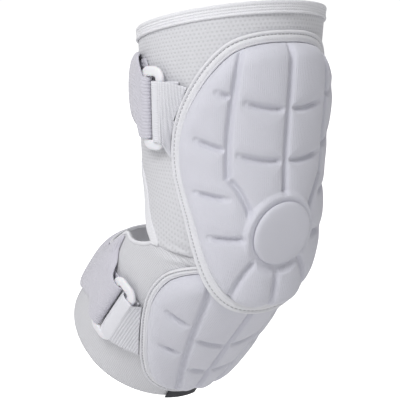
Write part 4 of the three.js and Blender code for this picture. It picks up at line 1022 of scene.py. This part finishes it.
def strap(arm, ring, pad, name):
    """Strap from the far binding round the crook to the ring, folded back over itself"""
    size = arm.size
    thickness = size.strap_thickness
    bar = ring.bars[1]
    wide, high = fold(size, thickness, size.strap_slack)
    low = size.clearance + thickness / 2
    shares = np.linspace(-0.5, 0.7, 7)
    far = 360 - np.max(pad.binding_turn(ring.middle + shares * size.strap_width)) - 1.5

    def layer(turn):
        return float(smooth((turn - bar - 1) / 14))

    rows = [(turn, low, -layer(turn)) for turn in np.linspace(far, bar + 1, 60)]
    for angle in np.linspace(0, math.pi, 18)[1:-1]:
        rows.append((bar - math.sin(angle) * wide / arm.turn_length,
                     ring.height - math.cos(angle) * high, 0))
    rest, top = low + thickness + size.strap_gap, ring.height + high
    for turn in np.linspace(bar + 1, 172, 60):
        down = float(smooth((turn - bar - 1) * arm.turn_length / size.strap_settle))
        rows.append((turn, top + (rest - top) * down, layer(turn)))

    def edges(turn):
        around = np.abs((turn + 180) % 360 - 180)

        def keep(name):
            climb = (arm.crook(around + 5, name) - arm.crook(around - 5, name)) / (
                10 * arm.turn_length)
            stretch = arm.stretch_at(arm.crook(around, name), around)
            return size.hem_keep * np.hypot(climb, 1) / np.maximum(stretch, 0.3)

        upper = ring.middle + size.strap_width * column(ring.table, "turn", "upper", turn)
        lower = ring.middle + size.strap_width * column(ring.table, "turn", "lower", turn)
        if ring.upper:
            upper = np.minimum(upper, arm.top_rim(around) - size.hem_height - 1.4 * MM)
            lower = np.maximum(lower, arm.crook(around, "upper") + keep("upper"))
        else:
            upper = np.minimum(upper, arm.crook(around, "lower") - keep("lower"))
            lower = np.maximum(lower, arm.low_rim(around) + 2 * MM)
        return lower, upper

    return folded_band(arm, name, np.array(rows), thickness, edges, 420, ring.puff)


def webbing(arm, ring, pad, name):
    """Elastic from the pad's binding, round the ring's near bar and back down to the binding"""
    size = arm.size
    thickness = size.strap_thickness * 0.85
    bar = ring.bars[0]
    wide, high = fold(size, thickness, size.webbing_slack)
    low, top, foot = size.clearance + thickness / 2, ring.height + high, size.clearance + 1.2 * MM
    half = size.strap_width * 0.475 * ring.long
    profile = edge_profile(thickness, 2 * half)
    count = len(profile) - 1

    def path(u, s):
        end = np.minimum(pad.binding_turn(s) + 0.6, bar - 3)
        start = np.maximum(bar - size.ring_bar / 2 / arm.turn_length, end + 2)
        under = np.clip(u / 0.3, 0, 1)
        angle = math.pi * np.clip((u - 0.3) / 0.2, 0, 1)
        flat_part = np.clip((u - 0.5) / 0.1, 0, 1)
        over = np.clip((u - 0.6) / 0.4, 0, 1)
        hidden = end + (bar - end) * (0.4 + 0.6 * under)
        turn = np.where(u < 0.3, hidden, np.where(
            u < 0.5, bar + np.sin(angle) * wide / arm.turn_length, np.where(
                u < 0.6, bar + (start - bar) * flat_part, start + (end - start) * over)))
        off = np.where(u < 0.3, low, np.where(
            u < 0.5, ring.height - np.cos(angle) * high,
            top + (foot - top) * (0.75 * over + 0.25 * smooth(over))))
        run = np.where(u < 0.3, -(bar - turn) * arm.turn_length - math.pi * wide, np.where(
            u < 0.5, (angle - math.pi) * wide, (bar - turn) * arm.turn_length))
        return turn, off, run

    def spot(u, share):
        away = np.clip((u - 0.5) / 0.5, 0, 1)
        return ring.middle + ring.drift * np.maximum(away, 0.35) + half * (2 * share - 1) - (
            ring.flare * away * (1 - share))

    def place(u, v):
        share, side = (np.interp(v * count, np.arange(count + 1), profile[:, k]) for k in (0, 1))
        s = spot(u, share)
        here, ahead, behind = (path(np.clip(u + d, 0, 1), s) for d in (0, 0.01, -0.01))
        dx = (ahead[0] - behind[0]) * arm.turn_length
        dy = ahead[1] - behind[1]
        length = np.maximum(np.hypot(dx, dy), 1e-9)
        out = thickness / 2 * side
        return arm.point(s, -(here[0] - dy / length * out / arm.turn_length),
                         here[1] - dx / length * out)

    def flat(u, v):
        share = np.interp(v * count, np.arange(count + 1), profile[:, 0])
        return path(u, spot(u, share))[2], share * 2 * half

    return close_mesh(grid_mesh(name, 160, count, place, flat))


def flat_ring(arm, ring, name):
    """A flat rounded rectangle of moulded plastic with softened edges"""
    size = arm.size
    long = (size.ring_length * ring.long - size.ring_bar) / 2
    wide = (size.ring_width - size.ring_bar) / 2
    corner = wide * 0.62
    shape = []
    for cx, cy, start in ((wide - corner, long - corner, 0), (corner - wide, long - corner, 90),
                          (corner - wide, corner - long, 180), (wide - corner, corner - long, 270)):
        for angle in np.radians(np.linspace(start, start + 90, 13)):
            shape.append((cx + corner * math.cos(angle), cy + corner * math.sin(angle)))
    shape = np.array(shape + shape[:1])
    run = np.concatenate([[0], np.cumsum(np.linalg.norm(np.diff(shape, axis=0), axis=1))])
    count, around = 180, 32

    def ring_at(u, v):
        def spot(t):
            return np.stack([np.interp((t % 1) * run[-1], run, shape[:, k]) for k in (0, 1)], -1)
        ahead = spot(u + 0.004) - spot(u - 0.004)
        ahead /= np.linalg.norm(ahead, axis=1)[:, None]
        angle = 2 * math.pi * v
        out = np.sign(np.cos(angle)) * np.abs(np.cos(angle)) ** 0.6 * size.ring_bar / 2
        up = np.sign(np.sin(angle)) * np.abs(np.sin(angle)) ** 0.75 * size.ring_thickness / 2
        x = spot(u)[:, 0] + ahead[:, 1] * out
        y = spot(u)[:, 1] - ahead[:, 0] * out
        return arm.point(ring.middle + y, -(ring.turn + x / arm.turn_length), ring.height + up)

    girth = 14 * MM
    return closed_band(name, count, around, ring_at, lambda u, v: (u * run[-1], v * girth))


def rim_label(arm):
    """Woven label folded over the lower rim"""
    size = arm.size
    wall = 0.9 * MM
    profile = edge_profile(wall, size.label_height)
    count = len(profile) - 1

    def ring(u, v):
        turn = (u - 0.5) * size.label_width / arm.turn_length
        share, side = (np.interp(v * count, np.arange(count + 1), profile[:, k]) for k in (0, 1))
        s = arm.low_rim(turn) - size.clearance + size.label_height * share
        return arm.point(s, turn, size.clearance + wall / 2 * (1 + side))

    return close_mesh(grid_mesh("woven_label", 40, count, ring,
                                lambda u, v: (u * size.label_width, v * 2 * size.label_height)))


class GUARD_OT_sleeve(bpy.types.Operator):
    """Add the mesh sleeve and its two hems"""

    bl_idname = "guard.sleeve"
    bl_label = "Sleeve"

    def execute(self, context):
        arm, look = Arm(context.scene.guard_sizes), context.scene.guard_look
        tape = hem_cloth()
        upper_tape = place_piece(upper_hem(arm), tape, ("upper_hem",))
        crook_tape = place_piece(crook_hem(arm), tape, ("crook_hem",))
        for part, rows, material, hems in (("upper", 110, mesh_cloth(look), [upper_tape]),
                                           ("lower", 90, cuff_cloth(look), [crook_tape])):
            piece = place_piece(sleeve_cloth(arm, part, rows), material, ("sleeve",))
            across, along = sheet_size(piece.data)
            wall = piece.modifiers.new("wall", "SOLIDIFY")
            wall.thickness = arm.size.sleeve_wall
            wall.offset = -1
        return {"FINISHED"}


class GUARD_OT_pads(bpy.types.Operator):
    """Add the two moulded pads, their bindings and the badge"""

    bl_idname = "guard.pads"
    bl_label = "Pads"

    def execute(self, context):
        arm, look = Arm(context.scene.guard_sizes), context.scene.guard_look
        foam, tape = pad_cloth(look), binding_cloth()
        for name, count in (("upper", 300), ("lower", 220)):
            pad = Pad(arm, name)
            piece = place_piece(moulded_pad(arm, pad, name + "_foam_pad", count, name == "upper"),
                                foam, (name + "_pad",))
            place_piece(binding_tape(arm, pad, name + "_binding_tape"), tape,
                        (name + "_pad_binding",))
        place_piece(domed_badge(arm), badge_plastic(),
                    ("elbow_badge",))
        return {"FINISHED"}


class GUARD_OT_straps(bpy.types.Operator):
    """Add the straps, webbing and rings"""

    bl_idname = "guard.straps"
    bl_label = "Straps"

    def execute(self, context):
        arm, look = Arm(context.scene.guard_sizes), context.scene.guard_look
        soft, plastic = strap_cloth(), ring_plastic()
        for name in ("upper", "lower"):
            ring, pad = Ring(arm, name), Pad(arm, name)
            place_piece(strap(arm, ring, pad, name + "_folded_strap"), soft,
                        (name + "_strap",))
            elastic = webbing_cloth(look, name + "_webbing_cloth", 0 if ring.upper else 3 * MM)
            place_piece(webbing(arm, ring, pad, name + "_elastic_webbing"), elastic,
                        (name + "_webbing",))
            place_piece(flat_ring(arm, ring, name + "_flat_ring"), plastic,
                        (name + "_ring",))
        return {"FINISHED"}


class GUARD_OT_label(bpy.types.Operator):
    """Add the woven label on the lower rim"""

    bl_idname = "guard.label"
    bl_label = "Label"

    def execute(self, context):
        arm = Arm(context.scene.guard_sizes)
        place_piece(rim_label(arm), label_cloth(), ("rim_label",))
        return {"FINISHED"}


class GUARD_OT_stage(bpy.types.Operator):
    """Add the pale floor, the soft lights and the camera"""

    bl_idname = "guard.stage"
    bl_label = "Stage"

    def execute(self, context):
        look = context.scene.guard_look
        bm = bmesh.new()
        bmesh.ops.create_grid(bm, x_segments=1, y_segments=1, size=8)
        bmesh.ops.translate(bm, verts=bm.verts, vec=(0, 0, look.floor_height))
        mesh = bpy.data.meshes.new("studio_floor")
        bm.to_mesh(mesh)
        bm.free()
        floor = bpy.data.objects.new("studio_floor", mesh)
        context.scene.collection.objects.link(floor)
        paint = Shader("studio_floor", (0.93, 0.93, 0.93), 0.9)
        paint.set("Emission Color", (1, 1, 1, 1))
        floor_seen = paint.node("ShaderNodeLightPath").outputs["Is Camera Ray"]
        paint.feed(paint.surface.inputs["Emission Strength"], floor_seen)
        mesh.materials.append(paint.material)

        world = bpy.data.worlds.new("studio")
        context.scene.world = world
        world.use_nodes = True
        sky = world.node_tree.nodes["Background"]
        seen = world.node_tree.nodes.new("ShaderNodeLightPath")
        glow = world.node_tree.nodes.new("ShaderNodeMath")
        glow.operation = "MULTIPLY_ADD"
        backdrop = 1.05
        glow.inputs[1].default_value = backdrop - look.sky_power
        glow.inputs[2].default_value = look.sky_power
        world.node_tree.links.new(seen.outputs["Is Camera Ray"], glow.inputs[0])
        world.node_tree.links.new(glow.outputs[0], sky.inputs["Strength"])
        sky.inputs["Color"].default_value = (1, 1, 1, 1)

        azimuth, elevation = look.camera_azimuth, look.camera_elevation
        target = Vector(look.camera_target)

        def studio_place(turn, height, distance):
            a, e = azimuth + math.radians(turn), math.radians(height)
            way = (math.sin(a) * math.cos(e), -math.cos(a) * math.cos(e), math.sin(e))
            return target + distance * Vector(way)

        for name, turn, height, distance, width, power in (
                ("key_light", -26, 42, 1.5, 0.6, look.key_power),
                ("fill_light", -80, 15, 1.6, 1.2, look.key_power * 0.12),
                ("back_light", 185, 45, 1.6, 1.2, look.key_power * 0.2)):
            light = bpy.data.lights.new(name, "AREA")
            light.shape, light.size, light.energy = "DISK", width, power
            lamp = bpy.data.objects.new(name, light)
            lamp.location = studio_place(turn, height, distance)
            lamp.rotation_euler = (target - lamp.location).to_track_quat("-Z", "Y").to_euler()
            context.scene.collection.objects.link(lamp)

        camera = bpy.data.cameras.new("photo_camera")
        camera.sensor_width = 36
        camera.lens = camera.sensor_width * look.camera_distance / look.frame_width
        eye = bpy.data.objects.new("photo_camera", camera)
        eye.location = studio_place(0, math.degrees(elevation), look.camera_distance)
        eye.rotation_euler = (target - eye.location).to_track_quat("-Z", "Y").to_euler()
        context.scene.collection.objects.link(eye)
        context.scene.camera = eye
        context.scene.view_settings.view_transform = "Standard"
        return {"FINISHED"}


class GUARD_PT_panel(bpy.types.Panel):
    """Sizes and pieces of the guard"""

    bl_label = "Elbow Guard"
    bl_space_type = "VIEW_3D"
    bl_region_type = "UI"
    bl_category = "Elbow Guard"

    def draw(self, context):
        for group in (context.scene.guard_sizes, context.scene.guard_look):
            column_box = self.layout.box().column()
            for name in group.bl_rna.properties.keys():
                if name not in ("rna_type", "name"):
                    column_box.prop(group, name)
        for kind in OPERATORS:
            self.layout.operator(kind.bl_idname)


OPERATORS = (GUARD_OT_sleeve, GUARD_OT_pads, GUARD_OT_straps, GUARD_OT_label, GUARD_OT_stage)
CLASSES = (GuardSizes, GuardLook, *OPERATORS, GUARD_PT_panel)


def register():
    for kind in CLASSES:
        bpy.utils.register_class(kind)
    bpy.types.Scene.guard_sizes = PointerProperty(type=GuardSizes)
    bpy.types.Scene.guard_look = PointerProperty(type=GuardLook)


def unregister():
    del bpy.types.Scene.guard_look
    del bpy.types.Scene.guard_sizes
    for kind in reversed(CLASSES):
        bpy.utils.unregister_class(kind)


def main():
    register()
    bpy.ops.guard.sleeve()
    bpy.ops.guard.pads()
    bpy.ops.guard.straps()
    bpy.ops.guard.label()
    bpy.ops.guard.stage()


if __name__ == "__main__":
    main()
